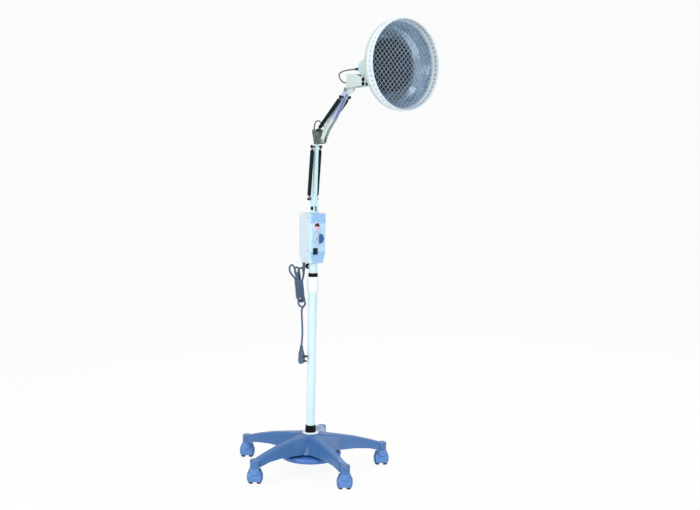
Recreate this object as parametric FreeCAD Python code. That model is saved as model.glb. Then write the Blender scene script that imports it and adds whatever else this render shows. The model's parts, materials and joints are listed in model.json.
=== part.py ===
import FreeCAD, Part
import math
import os

# Far-infrared mineral heat lamp on a rolling stand. Millimetres, +Z up.
# The origin lies on the floor under the pole; the arms and the head reach out along +X.

V = FreeCAD.Vector
UP = V(0, 0, 1)
ALONG_X = V(1, 0, 0)
ALONG_Y = V(0, 1, 0)
ORIGIN = V(0, 0, 0)

# ---------------------------------------------------------------- clearances
RUN = 0.05              # radial, a shaft that turns or slides in its bore
SEAT = 0.1              # radial, pieces assembled once and left
MOVE = 0.5              # between faces of pieces that move past each other
REACH = 300.0           # a cutting tool that ends outside the piece it cuts

# ---------------------------------------------------------------- castors
ARM_COUNT = 5
FIRST_ARM_ANGLE = -11.0
STEM_CIRCLE_R = 265.0
CASTOR_YAW = 142.3      # direction in which the wheels trail behind their stems
CASTOR_TRAIL = 17.0
WHEEL_R = 25.0
WHEEL_INNER_Y = 7.5
WHEEL_TREAD_WIDTH = 12.5
WHEEL_CAP_WIDTH = 7.5
WHEEL_CAP_R = 12.0
WHEEL_GAP = 1.3         # between a wheel's tread and its hood
AXLE_R = 3.0
HOOD_WALL = 2.2
HOOD_HALF_WIDTH = 21.0
HOOD_NECK_R = 15.0
HOOD_SWEEP = 220.0      # degrees of tyre covered, from just under the axle behind
HOOD_START = -15.0
HOOD_NECK_HEIGHT = 7.5
STEM_R = 5.5
STEM_LENGTH = 24.0

# ---------------------------------------------------------------- star base
TIP_HEIGHT = 29.0
TIP_R = 17.0
TIP_BEVEL = 3.0
SKIRT_LIFT = 10.5       # hub skirt's lower edge above the arm tips' lower faces
HUB_HEIGHT = 62.0
HUB_TOP_R = 34.0
SKIRT_R = 76.0
BOSS_R = 27.0
BASE_WALL = 4.0
ARM_RIDGE_BEVEL = 5.0
RIB_T = 3.0
RIB_COUNT = 4
RIB_RISE = 4.0          # cross ribs stop this far above the skirt's edge

# ---------------------------------------------------------------- ballast
BALLAST_R = 112.0
BALLAST_T = 18.0
BALLAST_EDGE = 6.0
BALLAST_DROP = 6.0      # its top face lies this far below the hub skirt
BALLAST_BOLT_R = 4.0
BALLAST_BOLT_HEAD_R = 7.5
BALLAST_BOLT_HEAD_T = 5.0
FOOT_PLUG_LENGTH = 26.0

# ---------------------------------------------------------------- pole
OUTER_TUBE_R = 16.0
INNER_TUBE_R = 13.5
TUBE_WALL = 1.5
OUTER_TUBE_LENGTH = 625.7
HUB_RING_R = 29.0
HUB_RING_T = 4.0
BUSH_BOTTOM_R = 19.5
BUSH_TOP_R = 18.0
BUSH_HEIGHT = 25.0
LINER_LENGTH = 60.0
LINER_FLANGE_T = 2.0
SLEEVE_R = 20.5
SLEEVE_BELOW_MOUTH = 47.0
SLEEVE_TAPER = 10.0
SLEEVE_LIP = 7.0
LOCK_RING_R = 17.0
LOCK_RING_HEIGHT = 12.2
LOCK_RING_BEVEL = 1.0
MAST_TRAVEL = 350.0
MAST_OVERLAP = 96.0     # inner tube still inside the outer one when fully raised

# ---------------------------------------------------------------- control box
BOX_WIDTH = 70.0
BOX_DEPTH = 70.0
BOX_HEIGHT = 176.0
BOX_FRONT = 27.0        # front face ahead of the pole's axis
BOX_ABOVE_RING = 37.1
BOX_CORNER_R = 7.0
BOX_TAPER_HEIGHT = 36.0
BOX_TAPER_IN = 6.5
BOX_WALL = 2.5
COVER_DEPTH = 9.0
SOCKET_R = 14.8
SOCKET_FLANGE_R = 18.5
SOCKET_INSIDE = 24.0
CLAMP_KNOB_R = 10.0
CLAMP_KNOB_LENGTH = 13.0
CLAMP_BOSS_R = 7.0
CLAMP_BOSS_REACH = 20.5
CLAMP_SCREW_R = 3.0
CLAMP_BELOW_BOX = 15.0
SPINE_T = 3.0
SPINE_HALF_WIDTH = 20.0

DIAL_Z = 88.0           # above the box's floor
DIAL_R = 23.5
DIAL_T = 3.0
KNOB_R = 19.5
KNOB_HEIGHT = 8.5
KNOB_GRIP_WIDTH = 8.0
KNOB_GRIP_HEIGHT = 3.5
KNOB_SHAFT_R = 3.0
TIMER_HALF_WIDTH = 19.0
TIMER_HALF_HEIGHT = 20.0
TIMER_DEPTH = 26.0
LAMP_Y = -8.5
LAMP_Z = 131.0
LAMP_R = 7.0
LAMP_BEZEL_R = 14.0
LAMP_BEZEL_T = 1.8
ROCKER_Y = -13.0
ROCKER_Z = 43.0
ROCKER_WIDTH = 13.0
ROCKER_HEIGHT = 16.5
ROCKER_FRAME_EDGE = 3.2
ROCKER_FRAME_T = 2.0
ROCKER_TILT = 12.0

STRIP_LENGTH = 36.0
STRIP_HEIGHT = 16.0
STRIP_DEPTH = 14.0
STRIP_BELOW_TOP = 60.0
STRIP_WAYS = 4

GLAND_X = -27.0
GLAND_Y = -20.7
GLAND_R = 6.0
GLAND_NECK_R = 4.6
GLAND_FLANGE = 1.5
GLAND_COLLAR = 9.0
GLAND_LENGTH = 30.0

# ---------------------------------------------------------------- turret
TURRET_X = 1.0
TURRET_POST_R = 8.0
TURRET_POST_LENGTH = 24.0
BEARING_R = 12.0
BEARING_DEPTH = 20.0
BEARING_FLANGE_T = 0.8  # the bearing's mouth stands this far above the box
FORK_PLATE_R = 17.0
FORK_PLATE_T = 4.0
FORK_EAR_T = 3.0
FORK_EAR_R = 12.0
PIVOT_ABOVE_PLATE = 12.5
ANCHOR_ABOVE_PIVOT = 31.7
ANCHOR_BEHIND_PIVOT = 10.0
ANCHOR_PIN_R = 2.5
PIN_HEAD = 1.6          # a pin head stands out this far, and is as thick
PIVOT_BOLT_R = 4.0
BOLT_HEAD_R = 6.5
BOLT_HEAD_T = 3.4

# ---------------------------------------------------------------- arms
ARM_HALF_WIDTH = 5.5    # half the width of both channels' inner members, across the arm plane
ARM_WALL = 1.6
LOWER_LEAN = 1.5        # degrees forward from upright
LOWER_HALF_DEPTH = 7.0
LOWER_TUBE_LENGTH = 224.0
LOWER_PIN_INSET = 8.0   # spring pin below the upper end of the channel
ELBOW_ABOVE_TUBE = 13.0
ELBOW_AHEAD = 39.1      # forward of the lower arm's centre line
SEAT_ABOVE_ELBOW = 36.7  # the upper springs' pins, above the elbow's pivot
SEAT_BEHIND_ELBOW = 9.2
CASTING_RISE = 3.0      # the casting's top above those pins
CASTING_BACK = 19.5     # its rear corner behind the channel's centre line
ELBOW_EAR_R = 10.0
UPPER_LEAN = 36.4
UPPER_LENGTH = 212.0
UPPER_HALF_DEPTH = 9.0
PADDLE_TIP_R = 8.0
PADDLE_DEPTH = 17.0     # the cheeks' widest reach behind the arm's centre line
PADDLE_FROM = 38.0
PADDLE_TO = 70.0
PADDLE_END = 117.0
WAIST_DEPTH = 3.0       # the cheeks' reach in front of it, where they are narrowest
WAIST_AT = 45.0
WAIST_END = 92.0
UPPER_WEB_FROM = 62.0
UPPER_WEB_INSET = 29.0  # the web ends this far before the wrist
UPPER_PIN_INSET = 27.0
UPPER_PIN_AHEAD = 5.0
SPRING_Y = 17.0
SPRING_R = 6.0
SPRING_NECK_R = 1.7
SPRING_EYE_R = 5.2
SPRING_EYE_T = 3.4
SPRING_NECK_LENGTH = 7.0
PIN_OVERHANG = 3.2

# ---------------------------------------------------------------- wrist
BLOCK_FOOT_HALF_WIDTH = 13.9
BRACKET_HALF_WIDTH = 16.0
BRACKET_WALL = 2.0
BRACKET_BACK = 12.0     # bracket's rear face ahead of the wrist pivot
BRACKET_LOW = 4.2      # its lower edge above the wrist pivot
BRACKET_HEIGHT = 44.0
BRACKET_MOUTH = 14.0    # height of the opening for the wrist block
BLOCK_REACH = 34.0      # the block's lower edge ends this far ahead of the wrist pivot
BLOCK_DROP = 17.0
BLOCK_FOOT_LENGTH = 24.0
BLOCK_FOOT_HEIGHT = 21.0
BRACKET_TOP_LENGTH = 45.0
TILT_AHEAD = 100.5       # tilt pivot ahead of the wrist pivot
TILT_ABOVE = 27.7       # and above it
TILT_EAR_R = 9.5
TENSION_BELOW_TILT = 14.3

# ---------------------------------------------------------------- head
HEAD_AXIS_ABOVE_TILT = 37.4
BOSS_REAR_BEHIND_TILT = 13.3
REAR_BOSS_R = 29.5
REAR_BOSS_LENGTH = 40.0
REAR_BOSS_BEVEL = 3.0
BOOT_LENGTH = 46.0
BOOT_BIG_R = 9.5
BOOT_SMALL_R = 4.2
SHADE_DEPTH = 122.0     # rear plate to the shade's straight band
SHADE_BACK_R = 34.0
SHADE_SWELL = ((0.30, 0.31), (0.66, 0.69))  # shares of its depth and of its flare
SHADE_WALL = 1.2
SHADE_R = 141.5
BAND_LENGTH = 17.0
COLLAR_LENGTH = 22.0
COLLAR_R = 144.0
COLLAR_WALL = 1.6
COLLAR_LIP = 3.0
COLLAR_SETBACK = 28.0   # guard seat behind the collar's front edge
OPENING_R = 134.5
VENT_COUNT = 60
VENT_WIDTH = 4.4
VENT_LENGTH = 5.0
VENT_FROM_FRONT = 10.0
VENT_REACH = 11.0
REFLECTOR_WALL = 1.0
REFLECTOR_DEPTH = 82.0
# Shares of the mouth's radius and of the depth.
REFLECTOR_STEPS = ((0.985, 0.0), (0.881, 0.34), (0.673, 0.76), (0.372, 1.0))
DRUM_R = 82.5
DRUM_DEPTH = 26.0
DRUM_WALL = 1.5
PLATE_R = 80.0
PLATE_T = 5.0
PLATE_BEHIND_GUARD = 34.0
STUD_R = 3.0
STUD_CIRCLE_R = 26.0
STUD_COUNT = 3
FORMER_R = 74.0
FORMER_T = 9.0
GUARD_RING_WIDTH = 5.0
GUARD_RING_T = 1.6
GUARD_WIRE_R = 0.85
GUARD_PITCH = 12.8
GUARD_TURN = 45.0

# ---------------------------------------------------------------- mains cord
CORD_R = 3.5
HANK_AZIMUTH = 52.3     # the hank hangs flat in the upright plane along this direction
HANK_V = 4.0            # and this far in front of that plane
HANK_SIDES = 12
# The wound lead: depth under the box, place along its plane, half width, half thickness.
HANK_STATIONS = (
    (5.5, -68.0, 6.0, 5.0),
    (22.5, -61.0, 17.0, 9.0),
    (50.5, -52.0, 19.0, 12.0),
    (70.5, -47.5, 17.0, 13.0),
    (95.5, -45.5, 17.5, 13.0),
    (120.5, -43.0, 17.5, 13.0),
    (144.5, -38.5, 16.5, 9.0),
    (166.5, -38.0, 8.0, 5.0),
)
# The tail that hangs from it: depth under the box, place along the plane and in front of it.
TAIL_POINTS = (
    (166.5, -38.0, 4.0),
    (200.5, -37.0, 4.5),
    (238.5, -34.6, 5.0),
    (272.5, -34.8, 7.0),
    (296.5, -37.0, 8.5),
)
PLUG_TURN = 40.0        # the blades point this far off the hank's plane, past the pole
PLUG_WIDTH = 21.0
PLUG_DEPTH = 17.0
PLUG_HEIGHT = 47.0
PLUG_NECK_LENGTH = 20.0
PLUG_CORNER = 8.0
BLADE_SPACING = 9.6     # between the two slanted blades
BLADE_SLANT = 30.0
BLADE_LENGTH = 15.0
BLADE_HALF_WIDTH = 3.2
BLADE_HALF_T = 0.8
EARTH_BELOW = 16.5      # earth blade under the other two
EARTH_HEIGHT = 12.7     # and above the plug's lower face
ARM_CORD_R = 2.5
# The arm cables' points ahead of and above where each one starts, over the elbow and at the boot.
ELBOW_CABLE = (
    (-44.0, 0.0),
    (-44.0, 21.0),
    (-25.0, 33.0),
    (-3.0, 23.0),
    (19.0, 4.0),
    (37.0, 2.0),
    (48.5, 15.5),
)
HEAD_CABLE = (
    (0.0, 0.0),
    (-32.0, 0.0),
    (-63.0, -1.2),
    (-88.0, -13.5),
    (-83.0, -38.0),
    (-56.0, -44.5),
)
HEAD_CABLE_DROP = 42.0  # where it ends in the bracket, below its start

# ================================================================ worked out
AXLE_Z = WHEEL_R
HOOD_INNER_R = WHEEL_R + WHEEL_GAP
HOOD_OUTER_R = HOOD_INNER_R + HOOD_WALL
CASTOR_TOP_Z = AXLE_Z + HOOD_OUTER_R + HOOD_NECK_HEIGHT
TIP_BOTTOM_Z = CASTOR_TOP_Z + MOVE
TIP_TOP_Z = TIP_BOTTOM_Z + TIP_HEIGHT
SKIRT_Z = TIP_BOTTOM_Z + SKIRT_LIFT
HUB_TOP_Z = SKIRT_Z + HUB_HEIGHT
BALLAST_TOP_Z = SKIRT_Z - BALLAST_DROP
BALLAST_Z = BALLAST_TOP_Z - BALLAST_T

OUTER_BORE_R = OUTER_TUBE_R - TUBE_WALL
INNER_BORE_R = INNER_TUBE_R - TUBE_WALL
OUTER_TUBE_TOP_Z = BALLAST_TOP_Z + OUTER_TUBE_LENGTH
LINER_TOP_Z = OUTER_TUBE_TOP_Z + LINER_FLANGE_T
SLEEVE_Z = OUTER_TUBE_TOP_Z - SLEEVE_BELOW_MOUTH
SLEEVE_TOP_Z = LINER_TOP_Z + SLEEVE_LIP
LOCK_RING_Z = SLEEVE_TOP_Z + MOVE
LOCK_RING_TOP_Z = LOCK_RING_Z + LOCK_RING_HEIGHT
INNER_TUBE_Z = OUTER_TUBE_TOP_Z - MAST_OVERLAP - MAST_TRAVEL

BOX_Z = LOCK_RING_TOP_Z + BOX_ABOVE_RING
BOX_TOP_Z = BOX_Z + BOX_HEIGHT
BOX_BACK = BOX_FRONT - BOX_DEPTH
COVER_SPLIT = BOX_FRONT - COVER_DEPTH
SOCKET_Z = LOCK_RING_TOP_Z + MOVE
SOCKET_LENGTH = BOX_Z + SOCKET_INSIDE - SOCKET_Z
SOCKET_FLANGE_Z = BOX_Z + BOX_WALL
INNER_TUBE_TOP_Z = BOX_Z + SOCKET_INSIDE
CLAMP_Z = BOX_Z - CLAMP_BELOW_BOX

FORK_PLATE_Z = BOX_TOP_Z + BEARING_FLANGE_T + MOVE
FORK_PLATE_TOP_Z = FORK_PLATE_Z + FORK_PLATE_T
FORK_INNER_Y = ARM_HALF_WIDTH + MOVE
FORK_OUTER_Y = FORK_INNER_Y + FORK_EAR_T
LOWER_PIVOT = V(TURRET_X, 0, FORK_PLATE_TOP_Z + PIVOT_ABOVE_PLATE)
LOWER_ANCHOR = LOWER_PIVOT + V(-ANCHOR_BEHIND_PIVOT, 0, ANCHOR_ABOVE_PIVOT)
SPRING_TIP_Y = SPRING_Y + SPRING_EYE_T / 2.0 + PIN_OVERHANG


def tilted(lean, across, along):
    """A point of a member that leans forward by lean degrees, given across and along it."""
    angle = math.radians(lean)
    x = across * math.cos(angle) + along * math.sin(angle)
    z = along * math.cos(angle) - across * math.sin(angle)
    return V(x, 0, z)


LOWER_PIN_AT = LOWER_TUBE_LENGTH - LOWER_PIN_INSET
UPPER_WEB_TO = UPPER_LENGTH - UPPER_WEB_INSET
ELBOW_PIVOT = LOWER_PIVOT + tilted(LOWER_LEAN, ELBOW_AHEAD, LOWER_TUBE_LENGTH + ELBOW_ABOVE_TUBE)
UPPER_ANCHOR = ELBOW_PIVOT + V(-SEAT_BEHIND_ELBOW, 0, SEAT_ABOVE_ELBOW)
CASTING_TOP_Z = UPPER_ANCHOR.z + CASTING_RISE
LOWER_PIN = LOWER_PIVOT + tilted(LOWER_LEAN, 0, LOWER_PIN_AT)
UPPER_PIN = ELBOW_PIVOT + tilted(UPPER_LEAN, UPPER_PIN_AHEAD, UPPER_LENGTH - UPPER_PIN_INSET)
WRIST_PIVOT = ELBOW_PIVOT + tilted(UPPER_LEAN, 0, UPPER_LENGTH)
TILT_PIVOT = WRIST_PIVOT + V(TILT_AHEAD, 0, TILT_ABOVE)
EAR_INNER_Y = ARM_HALF_WIDTH + MOVE
EAR_OUTER_Y = EAR_INNER_Y + ARM_WALL
BRACKET_INNER_Y = BRACKET_HALF_WIDTH - BRACKET_WALL
BRACKET_X = WRIST_PIVOT.x + BRACKET_BACK
BRACKET_Z = WRIST_PIVOT.z + BRACKET_LOW

HEAD_Z = TILT_PIVOT.z + HEAD_AXIS_ABOVE_TILT
BOSS_X = TILT_PIVOT.x - BOSS_REAR_BEHIND_TILT
SHADE_X = BOSS_X + REAR_BOSS_LENGTH
BAND_X = SHADE_X + SHADE_DEPTH
COLLAR_X = BAND_X + BAND_LENGTH
RIM_X = COLLAR_X + COLLAR_LENGTH
GUARD_SEAT_X = RIM_X - COLLAR_SETBACK
PLATE_FRONT_X = GUARD_SEAT_X - PLATE_BEHIND_GUARD
DRUM_FRONT_X = PLATE_FRONT_X - 1.0
LIP_R = COLLAR_R - 1.4 * COLLAR_LIP
BOOT_TIP = V(BOSS_X - BOOT_LENGTH, 0, HEAD_Z)


# ================================================================ helpers
def cylinder(radius, length, base, axis=UP):
    """A solid cylinder."""
    return Part.makeCylinder(radius, length, base, axis)


def tube(outer, inner, length, base, axis=UP):
    """A cylinder with a bore right through it."""
    return cylinder(outer, length, base, axis).cut(cylinder(inner, length, base, axis))


def block(x0, x1, y0, y1, z0, z1):
    """A box between two corners."""
    return Part.makeBox(x1 - x0, y1 - y0, z1 - z0, V(x0, y0, z0))


def cone(radius0, radius1, length, base, axis=UP):
    """A truncated cone."""
    return Part.makeCone(radius0, radius1, length, base, axis)


def turned(points, angle=360.0, start=0.0):
    """A solid turned about Z from an outline of (radius, height) corners."""
    corners = [V(r, 0, z) for r, z in points]
    face = Part.Face(Part.makePolygon(corners + corners[:1]))
    if start:
        face.rotate(ORIGIN, UP, start)
    return face.revolve(ORIGIN, UP, angle)


def slab(points, half_width):
    """An outline of (x, z) corners in the arm plane, as thick as its full width across it."""
    corners = [V(x, -half_width, z) for x, z in points]
    face = Part.Face(Part.makePolygon(corners + corners[:1]))
    return face.extrude(V(0, 2.0 * half_width, 0))


def cheek(centre, radius, half_width):
    """A round end about a cross pin, as thick as its full width."""
    return cylinder(radius, 2.0 * half_width, centre + V(0, -half_width, 0), ALONG_Y)


def pin(centre, radius, half_length):
    """A cross pin along Y, centred on the arm plane."""
    return cylinder(radius, 2.0 * half_length, centre + V(0, -half_length, 0), ALONG_Y)


def both_sides(make):
    """The same piece on either side of the arm plane."""
    return [make(-1.0), make(1.0)]


def fused(shapes):
    """One solid from pieces that meet, without the seams between them."""
    return shapes[0].multiFuse(shapes[1:]).removeSplitter()


def leant(shape, lean, pivot):
    """A member built upright about the origin, leant forward and set on its pivot."""
    shape.rotate(ORIGIN, ALONG_Y, lean)
    shape.translate(pivot)
    return shape


def on_head(shape):
    """A piece built with the lamp's axis along Z, from x = 0, laid along the head's axis."""
    shape.rotate(ORIGIN, ALONG_Y, 90.0)
    shape.translate(V(0, 0, HEAD_Z))
    return shape


def rounded_rectangle(x0, x1, half_width, radius, z):
    """A closed wire: a rectangle with round corners, level at height z."""
    y0, y1 = -half_width, half_width
    bow = radius * (1.0 - math.sqrt(0.5))
    edges = []
    corners = (
        ((x0 + radius, y0), (x1 - radius, y0), (x1 - bow, y0 + bow)),
        ((x1, y0 + radius), (x1, y1 - radius), (x1 - bow, y1 - bow)),
        ((x1 - radius, y1), (x0 + radius, y1), (x0 + bow, y1 - bow)),
        ((x0, y1 - radius), (x0, y0 + radius), (x0 + bow, y0 + bow)),
    )
    for index, (start, end, middle) in enumerate(corners):
        follows = corners[(index + 1) % 4][0]
        edges.append(Part.LineSegment(V(*start, z), V(*end, z)).toShape())
        edges.append(Part.Arc(V(*end, z), V(*middle, z), V(*follows, z)).toShape())
    return Part.Wire(edges)


def cord_path(points):
    """Straight runs joined by tangent arcs through a cord's points, and the arcs' radii."""
    edges = []
    radii = []
    start = points[0]
    for before, corner, after in zip(points, points[1:], points[2:]):
        run_in = corner - before
        run_out = after - corner
        turn = run_in.getAngle(run_out)
        shorter = min(run_in.Length, run_out.Length)
        radius = 0.45 * shorter / math.tan(turn / 2.0)
        cut = 0.45 * shorter
        way_in = V(run_in).normalize()
        way_out = V(run_out).normalize()
        first = corner - way_in * cut
        last = corner + way_out * cut
        bisector = (way_out - way_in).normalize()
        middle = corner + bisector * (radius / math.cos(turn / 2.0) - radius)
        edges.append(Part.LineSegment(start, first).toShape())
        edges.append(Part.Arc(first, middle, last).toShape())
        radii.append(radius)
        start = last
    edges.append(Part.LineSegment(start, points[-1]).toShape())
    return Part.Wire(edges), radii


def cord_tube(points, radius, name):
    """A round cord along its points; prints its length, its tightest bend and its volume."""
    path, radii = cord_path(points)
    section = Part.Wire(Part.makeCircle(radius, points[0], points[1] - points[0]))
    solid = path.makePipeShell([section], True, False)
    ideal = math.pi * radius**2 * path.Length
    print(f"{name}: length {path.Length:.1f} bends {[round(r, 1) for r in radii]}"
          f" volume {solid.Volume / ideal:.4f} of section times length")
    return solid


# ================================================================ castors
def castor_hood():
    """Fender over both wheels, web between them, neck and steel stem, at the origin."""
    crown = turned(
        [
            (HOOD_INNER_R, -HOOD_HALF_WIDTH),
            (HOOD_OUTER_R - HOOD_WALL / 2.0, -HOOD_HALF_WIDTH),
            (HOOD_OUTER_R, -HOOD_HALF_WIDTH + 4.0),
            (HOOD_OUTER_R, HOOD_HALF_WIDTH - 4.0),
            (HOOD_OUTER_R - HOOD_WALL / 2.0, HOOD_HALF_WIDTH),
            (HOOD_INNER_R, HOOD_HALF_WIDTH),
        ],
        angle=HOOD_SWEEP,
        start=HOOD_START,
    )
    crown.rotate(ORIGIN, ALONG_X, 90.0)
    axle_at = V(CASTOR_TRAIL, 0, AXLE_Z)
    crown.translate(axle_at)
    web_half = WHEEL_INNER_Y - MOVE - 1.0
    web_r = HOOD_INNER_R + 0.4
    web = turned([(0, -web_half), (web_r, -web_half), (web_r, web_half), (0, web_half)])
    web.rotate(ORIGIN, ALONG_X, 90.0)
    web.translate(axle_at)
    web = web.cut(block(-REACH, REACH, -REACH, REACH, -REACH, AXLE_Z - 10.0))
    web = web.cut(block(CASTOR_TRAIL + 9.0, REACH, -REACH, REACH, -REACH, AXLE_Z + 8.0))
    neck_z = AXLE_Z + HOOD_OUTER_R - 14.0
    neck = cylinder(HOOD_NECK_R, CASTOR_TOP_Z - neck_z, V(0, 0, neck_z))
    neck = neck.cut(cheek(axle_at, HOOD_INNER_R, HOOD_HALF_WIDTH))
    stem = cylinder(STEM_R, STEM_LENGTH, V(0, 0, CASTOR_TOP_Z))
    hood = fused([crown, web, neck, stem])
    return hood.cut(pin(axle_at, AXLE_R + RUN, 2.0 * web_half))


def castor_wheels():
    """Twin wheels pressed on one axle, at the origin."""
    tread_y = WHEEL_INNER_Y + WHEEL_TREAD_WIDTH
    cap_y = tread_y + WHEEL_CAP_WIDTH
    outline = [
        (0, WHEEL_INNER_Y),
        (WHEEL_R, WHEEL_INNER_Y),
        (WHEEL_R, tread_y),
        (WHEEL_CAP_R, cap_y),
        (0, cap_y),
    ]
    left = turned(outline)
    right = turned([(r, -y) for r, y in reversed(outline)])
    axle = cylinder(AXLE_R, 2.0 * WHEEL_INNER_Y, V(0, 0, -WHEEL_INNER_Y))
    pair = fused([left, axle, right])
    pair.rotate(ORIGIN, ALONG_X, 90.0)
    pair.translate(V(CASTOR_TRAIL, 0, AXLE_Z))
    return pair


def castor_places():
    """The stem's place at each arm's tip."""
    places = []
    for index in range(ARM_COUNT):
        angle = math.radians(FIRST_ARM_ANGLE + 360.0 / ARM_COUNT * index)
        places.append(V(STEM_CIRCLE_R * math.cos(angle), STEM_CIRCLE_R * math.sin(angle), 0))
    return places


def add_castors(parts):
    """Hood and wheel pair at every arm's tip, all trailing the same way."""
    for index, place in enumerate(castor_places(), start=1):
        for name, shape in (("hood", castor_hood()), ("wheels", castor_wheels())):
            shape.rotate(ORIGIN, UP, CASTOR_YAW)
            shape.translate(place)
            parts[f"castor_{index}_{name}"] = shape


# ================================================================ star base
def arm_sections(inset, sink):
    """Closed four-cornered sections along one arm, made smaller by inset and sunk at the top."""
    reach = STEM_CIRCLE_R - HUB_TOP_R
    bevel = ARM_RIDGE_BEVEL
    stations = (
        (0.00, HUB_HEIGHT - 1.5, 0.0, 46.0, 88.0),
        (0.28, HUB_HEIGHT - 9.0, 1.0, 28.0, 56.0),
        (0.54, HUB_HEIGHT - 18.0, 4.0, 24.0, 44.0),
        (0.78, HUB_HEIGHT - 31.0, 1.0, 23.0, 37.0),
        (0.95, HUB_HEIGHT - 42.5, -8.0, 24.0, 33.0),
    )
    wires = []
    for share, top, bottom, top_width, bottom_width in stations:
        x = HUB_TOP_R + share * reach
        z1 = SKIRT_Z + top - inset
        z0 = SKIRT_Z + bottom - sink
        half_top = top_width / 2.0 - inset
        half_bottom = bottom_width / 2.0 - inset
        corners = [
            V(x, -half_bottom, z0),
            V(x, half_bottom, z0),
            V(x, half_top + bevel / 2.0, z1 - bevel),
            V(x, half_top - bevel / 2.0, z1),
            V(x, -half_top + bevel / 2.0, z1),
            V(x, -half_top - bevel / 2.0, z1 - bevel),
        ]
        wires.append(Part.makePolygon(corners + corners[:1]))
    return wires


def star_arm():
    """One arched, tapered arm along +X with its hollow underside, ribs and castor socket."""
    outer = Part.makeLoft(arm_sections(0.0, 0.0), True, True)
    hollow = Part.makeLoft(arm_sections(BASE_WALL, 12.0), True, True)
    first = HUB_TOP_R + BASE_WALL
    last = STEM_CIRCLE_R - TIP_R - BASE_WALL
    pitch = (last - first) / (RIB_COUNT + 1)
    high = SKIRT_Z + HUB_HEIGHT
    ribs = [block(first, last, -RIB_T / 2.0, RIB_T / 2.0, SKIRT_Z, high)]
    for index in range(1, RIB_COUNT + 1):
        x = first + pitch * index
        ribs.append(block(x - RIB_T / 2.0, x + RIB_T / 2.0, -REACH, REACH, SKIRT_Z + RIB_RISE, high))
    tip = turned([(0, TIP_BOTTOM_Z), (TIP_R, TIP_BOTTOM_Z), (TIP_R, TIP_TOP_Z - TIP_BEVEL),
                  (TIP_R - TIP_BEVEL, TIP_TOP_Z), (0, TIP_TOP_Z)])
    tip.translate(V(STEM_CIRCLE_R, 0, 0))
    hollow = hollow.cut(cylinder(TIP_R, REACH, V(STEM_CIRCLE_R, 0, 0)))
    for rib in ribs:
        hollow = hollow.cut(rib)
    return outer, tip, hollow


def star_base():
    """Moulded five-arm base: hub cone and boss, five arms, a socket at each tip."""
    hub = turned(
        [
            (0, BALLAST_TOP_Z),
            (BOSS_R, BALLAST_TOP_Z),
            (BOSS_R, SKIRT_Z),
            (SKIRT_R, SKIRT_Z),
            (HUB_TOP_R + 4.0, HUB_TOP_Z - 6.0),
            (HUB_TOP_R, HUB_TOP_Z),
            (0, HUB_TOP_Z),
        ]
    )
    pocket = turned(
        [
            (BOSS_R, SKIRT_Z - 1.0),
            (SKIRT_R - BASE_WALL, SKIRT_Z - 1.0),
            (HUB_TOP_R + 1.0, HUB_TOP_Z - 6.0 - BASE_WALL),
            (BOSS_R, HUB_TOP_Z - 6.0 - BASE_WALL),
        ]
    )
    outer, tip, hollow = star_arm()
    solids = [hub]
    hollows = [pocket]
    for index in range(ARM_COUNT):
        angle = FIRST_ARM_ANGLE + 360.0 / ARM_COUNT * index
        for source, target in ((outer, solids), (tip, solids), (hollow, hollows)):
            piece = source.copy()
            piece.rotate(ORIGIN, UP, angle)
            target.append(piece)
    base = fused(solids)
    boss = cylinder(BOSS_R, HUB_HEIGHT + BALLAST_DROP, V(0, 0, BALLAST_TOP_Z))
    for piece in hollows:
        base = base.cut(piece.cut(boss))
    base = base.cut(cylinder(OUTER_TUBE_R + SEAT, HUB_TOP_Z, V(0, 0, 1.0)))
    for place in castor_places():
        bore = cylinder(STEM_R + RUN, STEM_LENGTH + 1.0, place + V(0, 0, TIP_BOTTOM_Z - MOVE))
        base = base.cut(bore)
    return base.removeSplitter()


def ballast_disc():
    """Cast-iron weight under the hub, with a counterbored bolt hole."""
    disc = turned(
        [
            (0, BALLAST_Z),
            (BALLAST_R - BALLAST_EDGE, BALLAST_Z),
            (BALLAST_R, BALLAST_Z + BALLAST_EDGE),
            (BALLAST_R, BALLAST_TOP_Z - BALLAST_EDGE / 2.0),
            (BALLAST_R - BALLAST_EDGE, BALLAST_TOP_Z),
            (0, BALLAST_TOP_Z),
        ]
    )
    disc = disc.cut(cylinder(BALLAST_BOLT_R + SEAT, BALLAST_T, V(0, 0, BALLAST_Z)))
    sink = cylinder(BALLAST_BOLT_HEAD_R + SEAT, BALLAST_BOLT_HEAD_T, V(0, 0, BALLAST_Z))
    return disc.cut(sink)


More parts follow.
